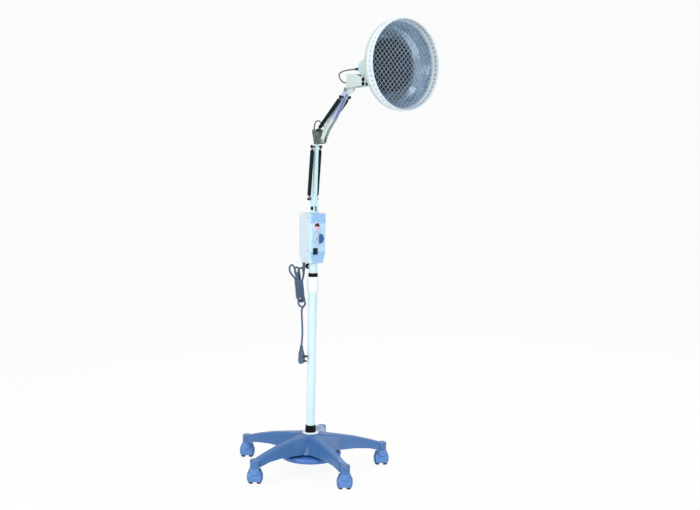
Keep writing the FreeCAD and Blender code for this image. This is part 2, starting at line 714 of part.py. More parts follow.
def add_base(parts):
    """Everything that stands still on the castors."""
    parts["star_base"] = star_base()
    parts["ballast_disc"] = ballast_disc()
    head = cylinder(BALLAST_BOLT_HEAD_R, BALLAST_BOLT_HEAD_T, V(0, 0, BALLAST_Z))
    shank_length = BALLAST_T + FOOT_PLUG_LENGTH - 4.0
    parts["ballast_bolt"] = fused([head, cylinder(BALLAST_BOLT_R, shank_length, V(0, 0, BALLAST_Z))])
    foot = V(0, 0, BALLAST_TOP_Z)
    parts["hub_trim_ring"] = turned(
        [
            (OUTER_TUBE_R + SEAT, HUB_TOP_Z),
            (HUB_RING_R, HUB_TOP_Z),
            (HUB_RING_R, HUB_TOP_Z + HUB_RING_T / 2.0),
            (HUB_RING_R - HUB_RING_T / 2.0, HUB_TOP_Z + HUB_RING_T),
            (OUTER_TUBE_R + SEAT, HUB_TOP_Z + HUB_RING_T),
        ]
    )
    bush_z = HUB_TOP_Z + HUB_RING_T
    bush = cone(BUSH_BOTTOM_R, BUSH_TOP_R, BUSH_HEIGHT, V(0, 0, bush_z))
    parts["pole_bush"] = bush.cut(cylinder(OUTER_TUBE_R + SEAT, BUSH_HEIGHT, V(0, 0, bush_z)))
    foot_plug = tube(OUTER_BORE_R, BALLAST_BOLT_R, FOOT_PLUG_LENGTH, foot)
    parts["outer_tube"] = fused([tube(OUTER_TUBE_R, OUTER_BORE_R, OUTER_TUBE_LENGTH, foot), foot_plug])
    parts["guide_liner"] = turned(
        [
            (INNER_TUBE_R + RUN, OUTER_TUBE_TOP_Z - LINER_LENGTH),
            (OUTER_BORE_R - SEAT, OUTER_TUBE_TOP_Z - LINER_LENGTH),
            (OUTER_BORE_R - SEAT, OUTER_TUBE_TOP_Z),
            (OUTER_TUBE_R, OUTER_TUBE_TOP_Z),
            (OUTER_TUBE_R, LINER_TOP_Z),
            (INNER_TUBE_R + RUN, LINER_TOP_Z),
        ]
    )
    parts["clamp_sleeve"] = turned(
        [
            (OUTER_TUBE_R + SEAT, SLEEVE_Z),
            (OUTER_TUBE_R + 1.5, SLEEVE_Z),
            (SLEEVE_R, SLEEVE_Z + SLEEVE_TAPER),
            (SLEEVE_R, SLEEVE_TOP_Z - 2.0),
            (SLEEVE_R - 1.5, SLEEVE_TOP_Z),
            (INNER_TUBE_R + 2.0 * MOVE, SLEEVE_TOP_Z),
            (INNER_TUBE_R + 2.0 * MOVE, LINER_TOP_Z),
            (OUTER_TUBE_R + SEAT, LINER_TOP_Z),
        ]
    )


def lock_ring():
    """Black twist ring that stands on the sleeve's lip, clear of the tube that slides through it."""
    bore = INNER_TUBE_R + 3.0 * MOVE
    return turned(
        [
            (bore, LOCK_RING_Z),
            (LOCK_RING_R - LOCK_RING_BEVEL, LOCK_RING_Z),
            (LOCK_RING_R, LOCK_RING_Z + LOCK_RING_BEVEL),
            (LOCK_RING_R, LOCK_RING_TOP_Z - LOCK_RING_BEVEL),
            (LOCK_RING_R - LOCK_RING_BEVEL, LOCK_RING_TOP_Z),
            (bore, LOCK_RING_TOP_Z),
        ]
    )


# ================================================================ control box
def box_body(inset):
    """The box's outer form, or its inner one when inset: upright walls and a tapered foot."""
    x0 = BOX_BACK + inset
    x1 = BOX_FRONT - inset
    half = BOX_WIDTH / 2.0 - inset
    radius = BOX_CORNER_R - inset
    low = BOX_Z + inset
    knee = BOX_Z + BOX_TAPER_HEIGHT
    top = BOX_TOP_Z - inset
    taper = BOX_TAPER_IN
    foot_wire = rounded_rectangle(x0 + taper, x1 - taper * 0.4, half - taper, radius, low)
    knee_wire = rounded_rectangle(x0, x1, half, radius, knee)
    top_wire = rounded_rectangle(x0, x1, half, radius, top)
    foot = Part.makeLoft([foot_wire, knee_wire], True, True)
    walls = Part.makeLoft([knee_wire, top_wire], True, True)
    return foot.fuse(walls).removeSplitter()


def box_holes():
    """Every opening through the box's walls, as solids to cut away."""
    dial_at = V(COVER_SPLIT, 0, BOX_Z + DIAL_Z)
    lamp_at = V(COVER_SPLIT, LAMP_Y, BOX_Z + LAMP_Z)
    half_w = ROCKER_WIDTH / 2.0 + ROCKER_FRAME_EDGE / 2.0
    half_h = ROCKER_HEIGHT / 2.0 + ROCKER_FRAME_EDGE / 2.0
    z = BOX_Z + ROCKER_Z
    return [
        cylinder(SOCKET_R + SEAT, BOX_WALL * 4.0, V(0, 0, BOX_Z - BOX_WALL)),
        cylinder(BEARING_R + SEAT, BOX_WALL * 4.0, V(TURRET_X, 0, BOX_TOP_Z - 2.0 * BOX_WALL)),
        cylinder(GLAND_R + SEAT, BOX_WALL * 4.0, V(GLAND_X, GLAND_Y, BOX_Z - BOX_WALL)),
        cylinder(KNOB_SHAFT_R + MOVE, COVER_DEPTH * 2.0, dial_at, ALONG_X),
        cylinder(LAMP_R, COVER_DEPTH * 2.0, lamp_at, ALONG_X),
        block(COVER_SPLIT, BOX_FRONT + 5.0, ROCKER_Y - half_w, ROCKER_Y + half_w, z - half_h, z + half_h),
    ]


def add_box(parts):
    """The housing in two shells, with the frame and fittings inside it."""
    shell = box_body(0.0).cut(box_body(BOX_WALL))
    for hole in box_holes():
        shell = shell.cut(hole)
    rear = block(-REACH, COVER_SPLIT, -REACH, REACH, 0.0, 2.0 * BOX_TOP_Z)
    front = block(COVER_SPLIT, REACH, -REACH, REACH, 0.0, 2.0 * BOX_TOP_Z)
    parts["box_rear_shell"] = shell.common(rear)
    bezel_base = V(BOX_FRONT, LAMP_Y, BOX_Z + LAMP_Z)
    bezel = tube(LAMP_BEZEL_R, LAMP_R, LAMP_BEZEL_T, bezel_base, ALONG_X)
    parts["box_front_cover"] = fused([shell.common(front), bezel])

    spine_x = BOX_BACK + BOX_WALL
    low = SOCKET_FLANGE_Z + SPINE_T
    high = BOX_TOP_Z - BOX_WALL
    half = SPINE_HALF_WIDTH
    knee = BOX_Z + BOX_TAPER_HEIGHT
    foot_x = spine_x + BOX_TAPER_IN
    bearing_z = BOX_TOP_Z + BEARING_FLANGE_T - BEARING_DEPTH
    spine = fused(
        [
            block(spine_x, spine_x + SPINE_T, -half, half, knee, high),
            block(spine_x, TURRET_X + BEARING_R + 2.0, -half, half, high - SPINE_T, high),
            slab([(spine_x, knee), (spine_x + SPINE_T, knee), (foot_x + SPINE_T, low), (foot_x, low)], half),
            block(foot_x, SOCKET_FLANGE_R, -half, half, low, low + SPINE_T),
            cylinder(BEARING_R, BEARING_DEPTH, V(TURRET_X, 0, bearing_z)),
        ]
    )
    spine = spine.cut(cylinder(SOCKET_R + SEAT, 10.0, V(0, 0, low - 1.0)))
    spine = spine.cut(cylinder(TURRET_POST_R + RUN, BEARING_DEPTH + 2.0, V(TURRET_X, 0, bearing_z - 1.0)))
    parts["spine_bracket"] = spine.cut(cylinder(GLAND_R + SEAT, 20.0, V(GLAND_X, GLAND_Y, low - 1.0)))

    socket = fused(
        [
            cylinder(SOCKET_R, SOCKET_LENGTH, V(0, 0, SOCKET_Z)),
            tube(SOCKET_FLANGE_R, INNER_TUBE_R, SPINE_T, V(0, 0, SOCKET_FLANGE_Z)),
            cylinder(CLAMP_BOSS_R, CLAMP_BOSS_REACH, V(0, 0, CLAMP_Z), V(-1, 0, 0)),
        ]
    )
    socket = socket.cut(cylinder(INNER_TUBE_R + SEAT, SOCKET_LENGTH, V(0, 0, SOCKET_Z)))
    screw_bore = cylinder(CLAMP_SCREW_R + RUN, CLAMP_BOSS_REACH + 1.0, V(0, 0, CLAMP_Z), V(-1, 0, 0))
    parts["tube_socket"] = socket.cut(screw_bore)
    tube_length = INNER_TUBE_TOP_Z - INNER_TUBE_Z
    parts["inner_tube"] = tube(INNER_TUBE_R, INNER_BORE_R, tube_length, V(0, 0, INNER_TUBE_Z))
    plug_r = OUTER_BORE_R - RUN
    parts["mast_guide_plug"] = fused(
        [
            cylinder(plug_r, 12.0, V(0, 0, INNER_TUBE_Z - 12.0)),
            cylinder(INNER_BORE_R - SEAT, 14.0, V(0, 0, INNER_TUBE_Z)),
        ]
    )

    knob_x = -CLAMP_BOSS_REACH - MOVE
    grip = cylinder(CLAMP_KNOB_R, CLAMP_KNOB_LENGTH, V(knob_x, 0, CLAMP_Z), V(-1, 0, 0))
    rims = [e for e in grip.Edges if len(e.Vertexes) == 1]
    grip = grip.makeChamfer(1.5, rims)
    screw_start = INNER_TUBE_R + MOVE
    screw = cylinder(CLAMP_SCREW_R, -knob_x - screw_start + 1.0, V(-screw_start, 0, CLAMP_Z), V(-1, 0, 0))
    parts["clamp_knob"] = fused([grip, screw])


def add_controls(parts):
    """Timer with its knob, indicator, rocker switch and cord gland."""
    z = BOX_Z + DIAL_Z
    inner_face = BOX_FRONT - BOX_WALL
    timer = block(inner_face - TIMER_DEPTH, inner_face, -TIMER_HALF_WIDTH, TIMER_HALF_WIDTH,
                  z - TIMER_HALF_HEIGHT, z + TIMER_HALF_HEIGHT)
    shaft_bore = cylinder(KNOB_SHAFT_R + RUN, TIMER_DEPTH, V(inner_face - TIMER_DEPTH / 2.0, 0, z), ALONG_X)
    parts["timer_body"] = timer.cut(shaft_bore)
    face_x = BOX_FRONT + MOVE
    skirt = cylinder(DIAL_R, DIAL_T, V(face_x, 0, z), ALONG_X)
    grip = cylinder(KNOB_R, KNOB_HEIGHT - DIAL_T, V(face_x + DIAL_T, 0, z), ALONG_X)
    front_x = face_x + KNOB_HEIGHT - MOVE
    rim = [e for e in grip.Edges if e.CenterOfMass.x > front_x and len(e.Vertexes) == 1]
    grip = grip.makeChamfer(1.0, rim)
    top_x = face_x + KNOB_HEIGHT
    bar = block(top_x - 1.0, top_x + KNOB_GRIP_HEIGHT, -KNOB_GRIP_WIDTH / 2.0, 0.0,
                z - KNOB_R + 2.0, z + KNOB_R - 2.0)
    shaft = cylinder(KNOB_SHAFT_R, TIMER_DEPTH / 2.0 + BOX_WALL - 2.0, V(face_x + 1.0, 0, z), V(-1, 0, 0))
    parts["timer_knob"] = fused([skirt, grip, bar, shaft])

    lamp_z = BOX_Z + LAMP_Z
    lamp_x = BOX_FRONT + LAMP_BEZEL_T
    lens_back = BOX_FRONT - 2.0 * BOX_WALL
    lens = turned([(0, lens_back), (LAMP_R, lens_back), (LAMP_R, lamp_x), (LAMP_R * 0.7, lamp_x + 1.9),
                   (0, lamp_x + 2.6)])
    lens.rotate(ORIGIN, ALONG_Y, 90.0)
    lens.translate(V(0, LAMP_Y, lamp_z))
    parts["indicator_lens"] = lens

    parts["rocker_frame"], parts["rocker"] = rocker_switch()

    gland = fused(
        [
            cylinder(GLAND_R, GLAND_COLLAR, V(GLAND_X, GLAND_Y, BOX_Z - GLAND_COLLAR + BOX_WALL + 3.0)),
            cylinder(GLAND_R + GLAND_FLANGE, 2.5, V(GLAND_X, GLAND_Y, BOX_Z - 2.5)),
            cone(GLAND_NECK_R, GLAND_R, GLAND_LENGTH - 2.5, V(GLAND_X, GLAND_Y, BOX_Z - GLAND_LENGTH)),
        ]
    )
    parts["cord_gland"] = gland
    spine_face = BOX_BACK + BOX_WALL + SPINE_T
    strip_z = BOX_TOP_Z - STRIP_BELOW_TOP
    strip = block(spine_face, spine_face + STRIP_DEPTH, -STRIP_LENGTH / 2.0, STRIP_LENGTH / 2.0,
                  strip_z, strip_z + STRIP_HEIGHT)
    pitch = STRIP_LENGTH / STRIP_WAYS
    for index in range(1, STRIP_WAYS):
        y = -STRIP_LENGTH / 2.0 + pitch * index
        strip = strip.cut(block(spine_face + STRIP_DEPTH / 2.0, spine_face + STRIP_DEPTH, y - 0.6, y + 0.6,
                                strip_z, strip_z + STRIP_HEIGHT))
    parts["terminal_block"] = strip


def rocker_switch():
    """Snap-in frame through the front cover, and the rocker on its pivot with one side down."""
    z = BOX_Z + ROCKER_Z
    half_w = ROCKER_WIDTH / 2.0
    half_h = ROCKER_HEIGHT / 2.0
    edge = ROCKER_FRAME_EDGE
    face = BOX_FRONT + ROCKER_FRAME_T
    body_back = BOX_FRONT - 17.0
    bezel = block(BOX_FRONT, face, ROCKER_Y - half_w - edge, ROCKER_Y + half_w + edge,
                  z - half_h - edge, z + half_h + edge)
    snug = edge / 2.0 - SEAT
    body = block(body_back, BOX_FRONT, ROCKER_Y - half_w - snug, ROCKER_Y + half_w + snug,
                 z - half_h - snug, z + half_h + snug)
    well = block(body_back + 6.0, face + 1.0, ROCKER_Y - half_w, ROCKER_Y + half_w, z - half_h, z + half_h)
    frame = fused([bezel, body]).cut(well)

    pivot = V(BOX_FRONT - 4.0, ROCKER_Y, z)
    gap = 0.35
    high = face + 2.0 - pivot.x
    low = face - 2.2 - pivot.x
    foot = -3.0
    reach = half_h - 0.9
    outline = [(foot, -reach * 0.6), (foot, reach * 0.6), (low + 1.2, reach), (high - 0.4, reach - 0.9),
               (low + 1.6, 0.0), (high - 0.4, -reach + 0.9), (low + 1.2, -reach)]
    corners = [V(x, -half_w + gap, zz) for x, zz in outline]
    paddle = Part.Face(Part.makePolygon(corners + corners[:1])).extrude(V(0, 2.0 * (half_w - gap), 0))
    stub = cylinder(1.4, 2.0 * half_w + 1.6, V(0, -half_w - 0.8, 0), ALONG_Y)
    rocker = fused([paddle, stub])
    frame = frame.cut(cylinder(1.4 + RUN, 2.0 * half_w + 2.2, pivot + V(0, -half_w - 1.1, 0), ALONG_Y))
    rocker.rotate(ORIGIN, ALONG_Y, ROCKER_TILT / 2.0)
    rocker.translate(pivot)
    return frame, rocker


# ================================================================ springs
def balance_spring(low, high, side):
    """A sleeved extension spring between two cross pins, with an eye round each of them."""
    run = high - low
    lean = math.degrees(math.atan2(run.x, run.z))
    length = run.Length
    bore = ANCHOR_PIN_R + RUN
    y0 = -SPRING_EYE_T / 2.0
    eyes = [tube(SPRING_EYE_R, bore, SPRING_EYE_T, V(0, y0, z), ALONG_Y) for z in (0.0, length)]
    neck = SPRING_EYE_R + SPRING_NECK_LENGTH
    root = SPRING_EYE_R - SPRING_NECK_R / 2.0
    rod = turned(
        [
            (0, root),
            (SPRING_NECK_R, root),
            (SPRING_NECK_R, neck),
            (SPRING_R, neck + SPRING_NECK_R),
            (SPRING_R, length - neck - SPRING_NECK_R),
            (SPRING_NECK_R, length - neck),
            (SPRING_NECK_R, length - root),
            (0, length - root),
        ]
    )
    spring = fused([eyes[0], rod, eyes[1]])
    return leant(spring, lean, low + V(0, side * SPRING_Y, 0))


def balance_springs(low, high):
    """The pair of springs, one on each side of an arm."""
    return Part.makeCompound(both_sides(lambda side: balance_spring(low, high, side)))


def pin_head(centre, side):
    """The retaining head at one end of a spring pin."""
    base = centre + V(0, side * (SPRING_TIP_Y - PIN_HEAD), 0)
    return cylinder(ANCHOR_PIN_R + PIN_HEAD, PIN_HEAD, base, V(0, side, 0))


def stub_pins(centre, inner_y):
    """Two pins outward from a pair of ears, each with a retaining head."""
    def one(side):
        length = SPRING_TIP_Y - inner_y
        shaft = cylinder(ANCHOR_PIN_R, length, centre + V(0, side * inner_y, 0), V(0, side, 0))
        return fused([shaft, pin_head(centre, side)])
    return both_sides(one)


def cross_pin(centre):
    """A pin right through an arm that carries one spring eye at each end."""
    heads = both_sides(lambda side: pin_head(centre, side))
    return fused([pin(centre, ANCHOR_PIN_R, SPRING_TIP_Y)] + heads)


def pivot_bolt(centre, half_length, radius=PIVOT_BOLT_R):
    """A bolt across a pivot with its head at one end and a nut at the other."""
    head = cylinder(BOLT_HEAD_R, BOLT_HEAD_T, centre + V(0, -half_length, 0), V(0, -1, 0))
    nut = cylinder(BOLT_HEAD_R, BOLT_HEAD_T, centre + V(0, half_length, 0), ALONG_Y)
    outer_y = centre.y - half_length - 1.0
    rims = [e for e in head.Edges if len(e.Vertexes) == 1 and e.CenterOfMass.y < outer_y]
    head = head.makeChamfer(0.8, rims)
    return fused([pin(centre, radius, half_length), head, nut])


# ================================================================ turret and lower arm
def turret_fork():
    """Post, round plate and two ears that carry the arm's pivot and the springs' anchors."""
    x = TURRET_X
    post = cylinder(TURRET_POST_R, TURRET_POST_LENGTH, V(x, 0, FORK_PLATE_Z - TURRET_POST_LENGTH))
    plate = cylinder(FORK_PLATE_R, FORK_PLATE_T, V(x, 0, FORK_PLATE_Z))
    top = V(LOWER_ANCHOR.x + ANCHOR_BEHIND_PIVOT / 2.0, 0, LOWER_ANCHOR.z)
    half = FORK_EAR_R
    outline = slab([(x - half, FORK_PLATE_Z), (x + half, FORK_PLATE_Z), (x + half, LOWER_PIVOT.z),
                    (top.x + half, top.z), (top.x - half, top.z), (x - half, LOWER_PIVOT.z)], FORK_OUTER_Y)
    ears = outline.fuse(cheek(top, half, FORK_OUTER_Y)).removeSplitter()
    ears = ears.cut(block(-REACH, REACH, -FORK_INNER_Y, FORK_INNER_Y, FORK_PLATE_TOP_Z, 2.0 * top.z))
    fork = fused([post, plate, ears])
    return fork.cut(pin(LOWER_PIVOT, PIVOT_BOLT_R, FORK_OUTER_Y))


def lower_channel():
    """Folded channel, open at the back, with round ends, upright about its pivot."""
    half = LOWER_HALF_DEPTH
    top = LOWER_TUBE_LENGTH
    outer = slab([(-half, 0), (half, 0), (half, top), (-half, top)], ARM_HALF_WIDTH)
    outer = outer.fuse(cheek(ORIGIN, half, ARM_HALF_WIDTH)).removeSplitter()
    inner_y = ARM_HALF_WIDTH - ARM_WALL
    hollow = block(-half - 1.0, half - ARM_WALL, -inner_y, inner_y, half, top)
    foot = block(-half - 1.0, half + 1.0, -inner_y, inner_y, -half - 1.0, half)
    channel = outer.cut(hollow).cut(foot)
    channel = channel.cut(pin(ORIGIN, PIVOT_BOLT_R + RUN, ARM_HALF_WIDTH))
    return leant(channel, LOWER_LEAN, V(LOWER_PIVOT))


def elbow_casting():
    """Wedge-shaped casting on the lower arm's end: ear for the upper arm, seat for its springs."""
    half = ARM_HALF_WIDTH
    neck = LOWER_PIVOT + tilted(LOWER_LEAN, 0, LOWER_TUBE_LENGTH)
    seat = UPPER_ANCHOR
    edge = ANCHOR_PIN_R + 4.0
    outline = slab(
        [
            (neck.x - LOWER_HALF_DEPTH, neck.z),
            (neck.x + LOWER_HALF_DEPTH, neck.z),
            (ELBOW_PIVOT.x, ELBOW_PIVOT.z - ELBOW_EAR_R),
            (ELBOW_PIVOT.x + ELBOW_EAR_R, ELBOW_PIVOT.z),
            (seat.x + edge, seat.z),
            (seat.x + edge - CASTING_RISE, CASTING_TOP_Z),
            (neck.x - CASTING_BACK + 1.5, CASTING_TOP_Z),
            (neck.x - CASTING_BACK, CASTING_TOP_Z - 5.0),
        ],
        half,
    )
    body = fused([outline, cheek(ELBOW_PIVOT, ELBOW_EAR_R, half)])
    body = body.cut(pin(ELBOW_PIVOT, PIVOT_BOLT_R + RUN, half))
    spigot_half = LOWER_HALF_DEPTH - ARM_WALL - SEAT
    snug = half - ARM_WALL - SEAT
    spigot = block(-spigot_half - ARM_WALL, spigot_half, -snug, snug,
                   LOWER_PIN_AT + ANCHOR_PIN_R + SEAT, LOWER_TUBE_LENGTH + 1.0)
    spigot = leant(spigot, LOWER_LEAN, V(LOWER_PIVOT))
    return fused([body, spigot])


def add_turret_and_lower_arm(parts):
    """The swivelling fork and everything that tilts on its lower pivot."""
    parts["turret_fork"] = fused([turret_fork()] + stub_pins(LOWER_ANCHOR, FORK_OUTER_Y))
    parts["lower_pivot_bolt"] = pivot_bolt(LOWER_PIVOT, FORK_OUTER_Y)
    parts["lower_arm_channel"] = fused([lower_channel(), cross_pin(LOWER_PIN)])
    parts["elbow_casting"] = fused([elbow_casting()] + stub_pins(UPPER_ANCHOR, ARM_HALF_WIDTH))
    parts["lower_springs"] = balance_springs(LOWER_ANCHOR, LOWER_PIN)


# ================================================================ upper arm
def upper_channel():
    """Folded channel with deep cheeks: a leaf-shaped paddle at the elbow, round ears at the wrist."""
    half = UPPER_HALF_DEPTH
    tip = PADDLE_TIP_R
    profile = slab(
        [
            (-tip, 0),
            (tip, 0),
            (WAIST_DEPTH, WAIST_AT),
            (half, WAIST_END),
            (half, UPPER_LENGTH),
            (-half, UPPER_LENGTH),
            (-half, PADDLE_END),
            (-PADDLE_DEPTH, PADDLE_TO),
            (-PADDLE_DEPTH, PADDLE_FROM),
        ],
        EAR_OUTER_Y,
    )
    elbow_end = cheek(ORIGIN, tip, EAR_OUTER_Y)
    wrist_end = cheek(V(0, 0, UPPER_LENGTH), half, EAR_OUTER_Y)
    channel = fused([profile, elbow_end, wrist_end])
    gap = EAR_INNER_Y
    for room in (
        block(-REACH, REACH, -gap, gap, -REACH, UPPER_WEB_FROM),
        block(-REACH, -half, -gap, gap, UPPER_WEB_FROM, UPPER_WEB_TO),
        block(-half + ARM_WALL, REACH, -gap, gap, UPPER_WEB_FROM, UPPER_WEB_TO),
        block(-REACH, REACH, -gap, gap, UPPER_WEB_TO, UPPER_LENGTH + REACH),
    ):
        channel = channel.cut(room)
    channel = channel.cut(pin(ORIGIN, PIVOT_BOLT_R, EAR_OUTER_Y))
    channel = channel.cut(pin(V(0, 0, UPPER_LENGTH), PIVOT_BOLT_R, EAR_OUTER_Y))
    return leant(channel, UPPER_LEAN, V(ELBOW_PIVOT))


def add_upper_arm(parts):
    """Everything that swings about the elbow."""
    parts["upper_arm_channel"] = fused([upper_channel(), cross_pin(UPPER_PIN)])
    bolts = [pivot_bolt(ELBOW_PIVOT, EAR_OUTER_Y), pivot_bolt(WRIST_PIVOT, EAR_OUTER_Y)]
    parts["upper_arm_bolts"] = Part.makeCompound(bolts)
    parts["upper_springs"] = balance_springs(UPPER_ANCHOR, UPPER_PIN)


# ================================================================ wrist
def wrist_block():
    """Casting with an ear between the upper arm's cheeks and a wide foot inside the bracket."""
    p = WRIST_PIVOT
    x0 = BRACKET_X + BRACKET_WALL
    z0 = BRACKET_Z + 1.0
    ear = cheek(p, UPPER_HALF_DEPTH, ARM_HALF_WIDTH)
    neck = slab(
        [
            (p.x - 4.0, p.z + 8.0),
            (p.x - 4.0, p.z - 8.0),
            (p.x + 6.0, p.z - BLOCK_DROP),
            (p.x + BLOCK_REACH, p.z - 6.0),
            (x0 + BLOCK_FOOT_LENGTH - 3.0, z0 + 1.0),
            (x0, BRACKET_Z + BRACKET_MOUTH - MOVE),
        ],
        ARM_HALF_WIDTH,
    )
    wide = BLOCK_FOOT_HALF_WIDTH
    foot = block(x0, x0 + BLOCK_FOOT_LENGTH, -wide, wide, z0, z0 + BLOCK_FOOT_HEIGHT)
    body = fused([ear, neck, foot])
    return body.cut(pin(p, PIVOT_BOLT_R + RUN, ARM_HALF_WIDTH))


def head_bracket():
    """Folded sheet saddle: two cheeks and a top web, rounded in front where the head tilts."""
    t = TILT_PIVOT
    x0 = BRACKET_X
    z0 = BRACKET_Z
    z1 = z0 + BRACKET_HEIGHT
    r = TILT_EAR_R
    low = t.z - TENSION_BELOW_TILT
    outline = slab(
        [
            (x0, z0),
            (t.x - r, low - r * 0.6),
            (t.x, low - r),
            (t.x + r, low),
            (t.x + r, t.z),
            (t.x, t.z + r),
            (t.x - r * 1.9, t.z + r),
            (x0 + BRACKET_TOP_LENGTH, z1),
            (x0, z1),
        ],
        BRACKET_HALF_WIDTH,
    )
    shell = fused([outline, cheek(t, r, BRACKET_HALF_WIDTH), cheek(V(t.x, 0, low), r, BRACKET_HALF_WIDTH)])
    wide = BRACKET_INNER_Y
    slot = ARM_HALF_WIDTH + MOVE
    inner = block(x0 + BRACKET_WALL, 2.0 * t.x, -wide, wide, z0 - REACH, z1 - BRACKET_WALL)
    throat = block(x0 + BRACKET_TOP_LENGTH, 2.0 * t.x, -wide, wide, z0 - REACH, z1 + REACH)
    mouth = block(0.0, x0 + 2.0 * BRACKET_WALL, -slot, slot, z0 - REACH, z0 + BRACKET_MOUTH)
    bracket = shell.cut(inner).cut(throat).cut(mouth)
    for z in (t.z, low):
        bracket = bracket.cut(pin(V(t.x, 0, z), PIVOT_BOLT_R, BRACKET_HALF_WIDTH))
    return bracket


def add_wrist(parts):
    """Block, bracket and screws between the upper arm and the head."""
    t = TILT_PIVOT
    low = V(t.x, 0, t.z - TENSION_BELOW_TILT)
    parts["wrist_block"] = wrist_block()
    parts["tilt_bolts"] = Part.makeCompound([pivot_bolt(at, BRACKET_HALF_WIDTH) for at in (t, low)])
    screws = []
    x = BRACKET_X + BRACKET_WALL + BLOCK_FOOT_LENGTH / 2.0
    z = BRACKET_Z + BLOCK_FOOT_HEIGHT / 2.0
    for side in (-1.0, 1.0):
        for dx in (-6.0, 6.0):
            screws.append(cone(3.2, 2.2, 1.5, V(x + dx, side * BRACKET_HALF_WIDTH, z), V(0, side, 0)))
    parts["head_bracket"] = fused([head_bracket()] + screws)


# ================================================================ head
def rear_boss():
    """Round casting behind the shade with the tilt ear below it."""
    bevel = REAR_BOSS_BEVEL
    r = REAR_BOSS_R
    boss = on_head(turned([(0, BOSS_X), (r - bevel, BOSS_X), (r - 0.3 * bevel, BOSS_X + 0.3 * bevel),
                           (r, BOSS_X + bevel), (r, SHADE_X), (0, SHADE_X)]))
    half = BRACKET_INNER_Y - MOVE
    t = TILT_PIVOT
    ear = cheek(t, TILT_EAR_R - 1.0, half)
    root_z = HEAD_Z - r + 8.0
    web = slab([(t.x, t.z - TILT_EAR_R + 1.0), (t.x + TILT_EAR_R, t.z), (SHADE_X, root_z),
                (t.x + 4.0, root_z), (t.x - TILT_EAR_R + 2.5, t.z + 4.0)], half)
    body = fused([boss, web, ear])
    return body.cut(pin(t, PIVOT_BOLT_R + RUN, half))


def shade_outline(offset):
    """(radius, x) corners of the shade's outside from its rear plate to its front hem."""
    flare = SHADE_R - SHADE_BACK_R
    corners = [(SHADE_BACK_R + offset, SHADE_X)]
    for along, out in SHADE_SWELL:
        corners.append((SHADE_BACK_R + out * flare + offset, SHADE_X + along * SHADE_DEPTH))
    return corners + [(SHADE_R + offset, BAND_X)]


def shade_shell():
    """Spun steel shade: rear plate, swelling cone and a straight band at its mouth."""
    outside = shade_outline(0.0)
    inside = shade_outline(-1.4 * SHADE_WALL)
    plate_x = SHADE_X + SHADE_WALL
    corners = [(0, SHADE_X)] + outside + [(SHADE_R, COLLAR_X), (SHADE_R - SHADE_WALL, COLLAR_X)]
    corners += [(SHADE_R - SHADE_WALL, BAND_X)] + inside[1:3][::-1]
    corners += [(SHADE_BACK_R - 1.0, plate_x), (0, plate_x)]
    return on_head(turned(corners))


def reflector():
    """Polished aluminium dish from the shade's mouth back round the heater drum."""
    rim_x = GUARD_SEAT_X - 2.5
    mouth = SHADE_R - SHADE_WALL - SEAT
    w = REFLECTOR_WALL
    front = [(share * OPENING_R, rim_x - depth * REFLECTOR_DEPTH) for share, depth in REFLECTOR_STEPS]
    back = [(r + 0.8 * w, x - w) for r, x in reversed(front[:-1])]
    hole = (front[-1][0], front[-1][1] - w)
    return on_head(turned([(mouth, rim_x)] + front + [hole] + back + [(mouth, rim_x - w)]))


def collar():
    """Front ring: outer skirt, rolled lip, sloping inner wall with vents, and the guard's seat."""
    w = COLLAR_WALL
    seat = GUARD_SEAT_X
    ring = turned(
        [
            (SHADE_R + SEAT, COLLAR_X),
            (SHADE_R + SEAT, COLLAR_X - 4.0),
            (SHADE_R + SEAT + w, COLLAR_X - 4.0),
            (COLLAR_R, COLLAR_X + 2.0),
            (COLLAR_R, RIM_X - COLLAR_LIP / 2.0),
            (COLLAR_R - COLLAR_LIP / 2.0, RIM_X),
            (LIP_R, RIM_X),
            (OPENING_R + 2.0, seat + 0.8),
            (OPENING_R - 3.0, seat + 0.8),
            (OPENING_R - 3.0, seat - 0.8),
            (OPENING_R + 2.0 + w, seat - 0.8),
            (LIP_R + 0.8 * w, RIM_X - COLLAR_LIP),
            (COLLAR_R - w, RIM_X - COLLAR_LIP),
            (COLLAR_R - w, COLLAR_X),
        ]
    )
    corner = V(-VENT_LENGTH / 2.0, -VENT_WIDTH / 2.0, 0)
    cutter = Part.makeBox(VENT_LENGTH, VENT_WIDTH, VENT_REACH, corner)
    cutter.rotate(ORIGIN, ALONG_Y, 90.0)
    cutter.translate(V(OPENING_R, 0, RIM_X - VENT_FROM_FRONT))
    cutters = []
    for index in range(VENT_COUNT):
        one = cutter.copy()
        one.rotate(ORIGIN, UP, 360.0 / VENT_COUNT * index)
        cutters.append(one)
    return on_head(ring.cut(Part.makeCompound(cutters)))


def octagon(flat_r, centre):
    """An upright eight-sided wire facing along Y, flat_r from its centre to each side."""
    corner_r = flat_r / math.cos(math.pi / 8.0)
    angles = [math.pi / 8.0 + math.pi / 4.0 * index for index in range(8)]
    corners = [centre + V(corner_r * math.cos(a), 0, corner_r * math.sin(a)) for a in angles]
    return Part.makePolygon(corners + corners[:1])


def guard_wires():
    """Two crossed layers of straight wires, one lying on the other, clipped to the ring."""
    reach = OPENING_R - GUARD_WIRE_R
    count = int(reach / GUARD_PITCH)
    front = GUARD_SEAT_X + 0.8 + GUARD_RING_T
    wires = []
    for layer in (0, 1):
        depth = front + layer * 2.0 * GUARD_WIRE_R
        for index in range(-count, count + 1):
            offset = index * GUARD_PITCH
            half = math.sqrt(reach**2 - offset**2)
            section = octagon(GUARD_WIRE_R, V(offset, -half, depth + GUARD_WIRE_R))
            wire = Part.Face(section).extrude(V(0, 2.0 * half, 0))
            wire.rotate(ORIGIN, UP, GUARD_TURN + 90.0 * layer)
            wires.append(wire)
    return on_head(Part.makeCompound(wires))


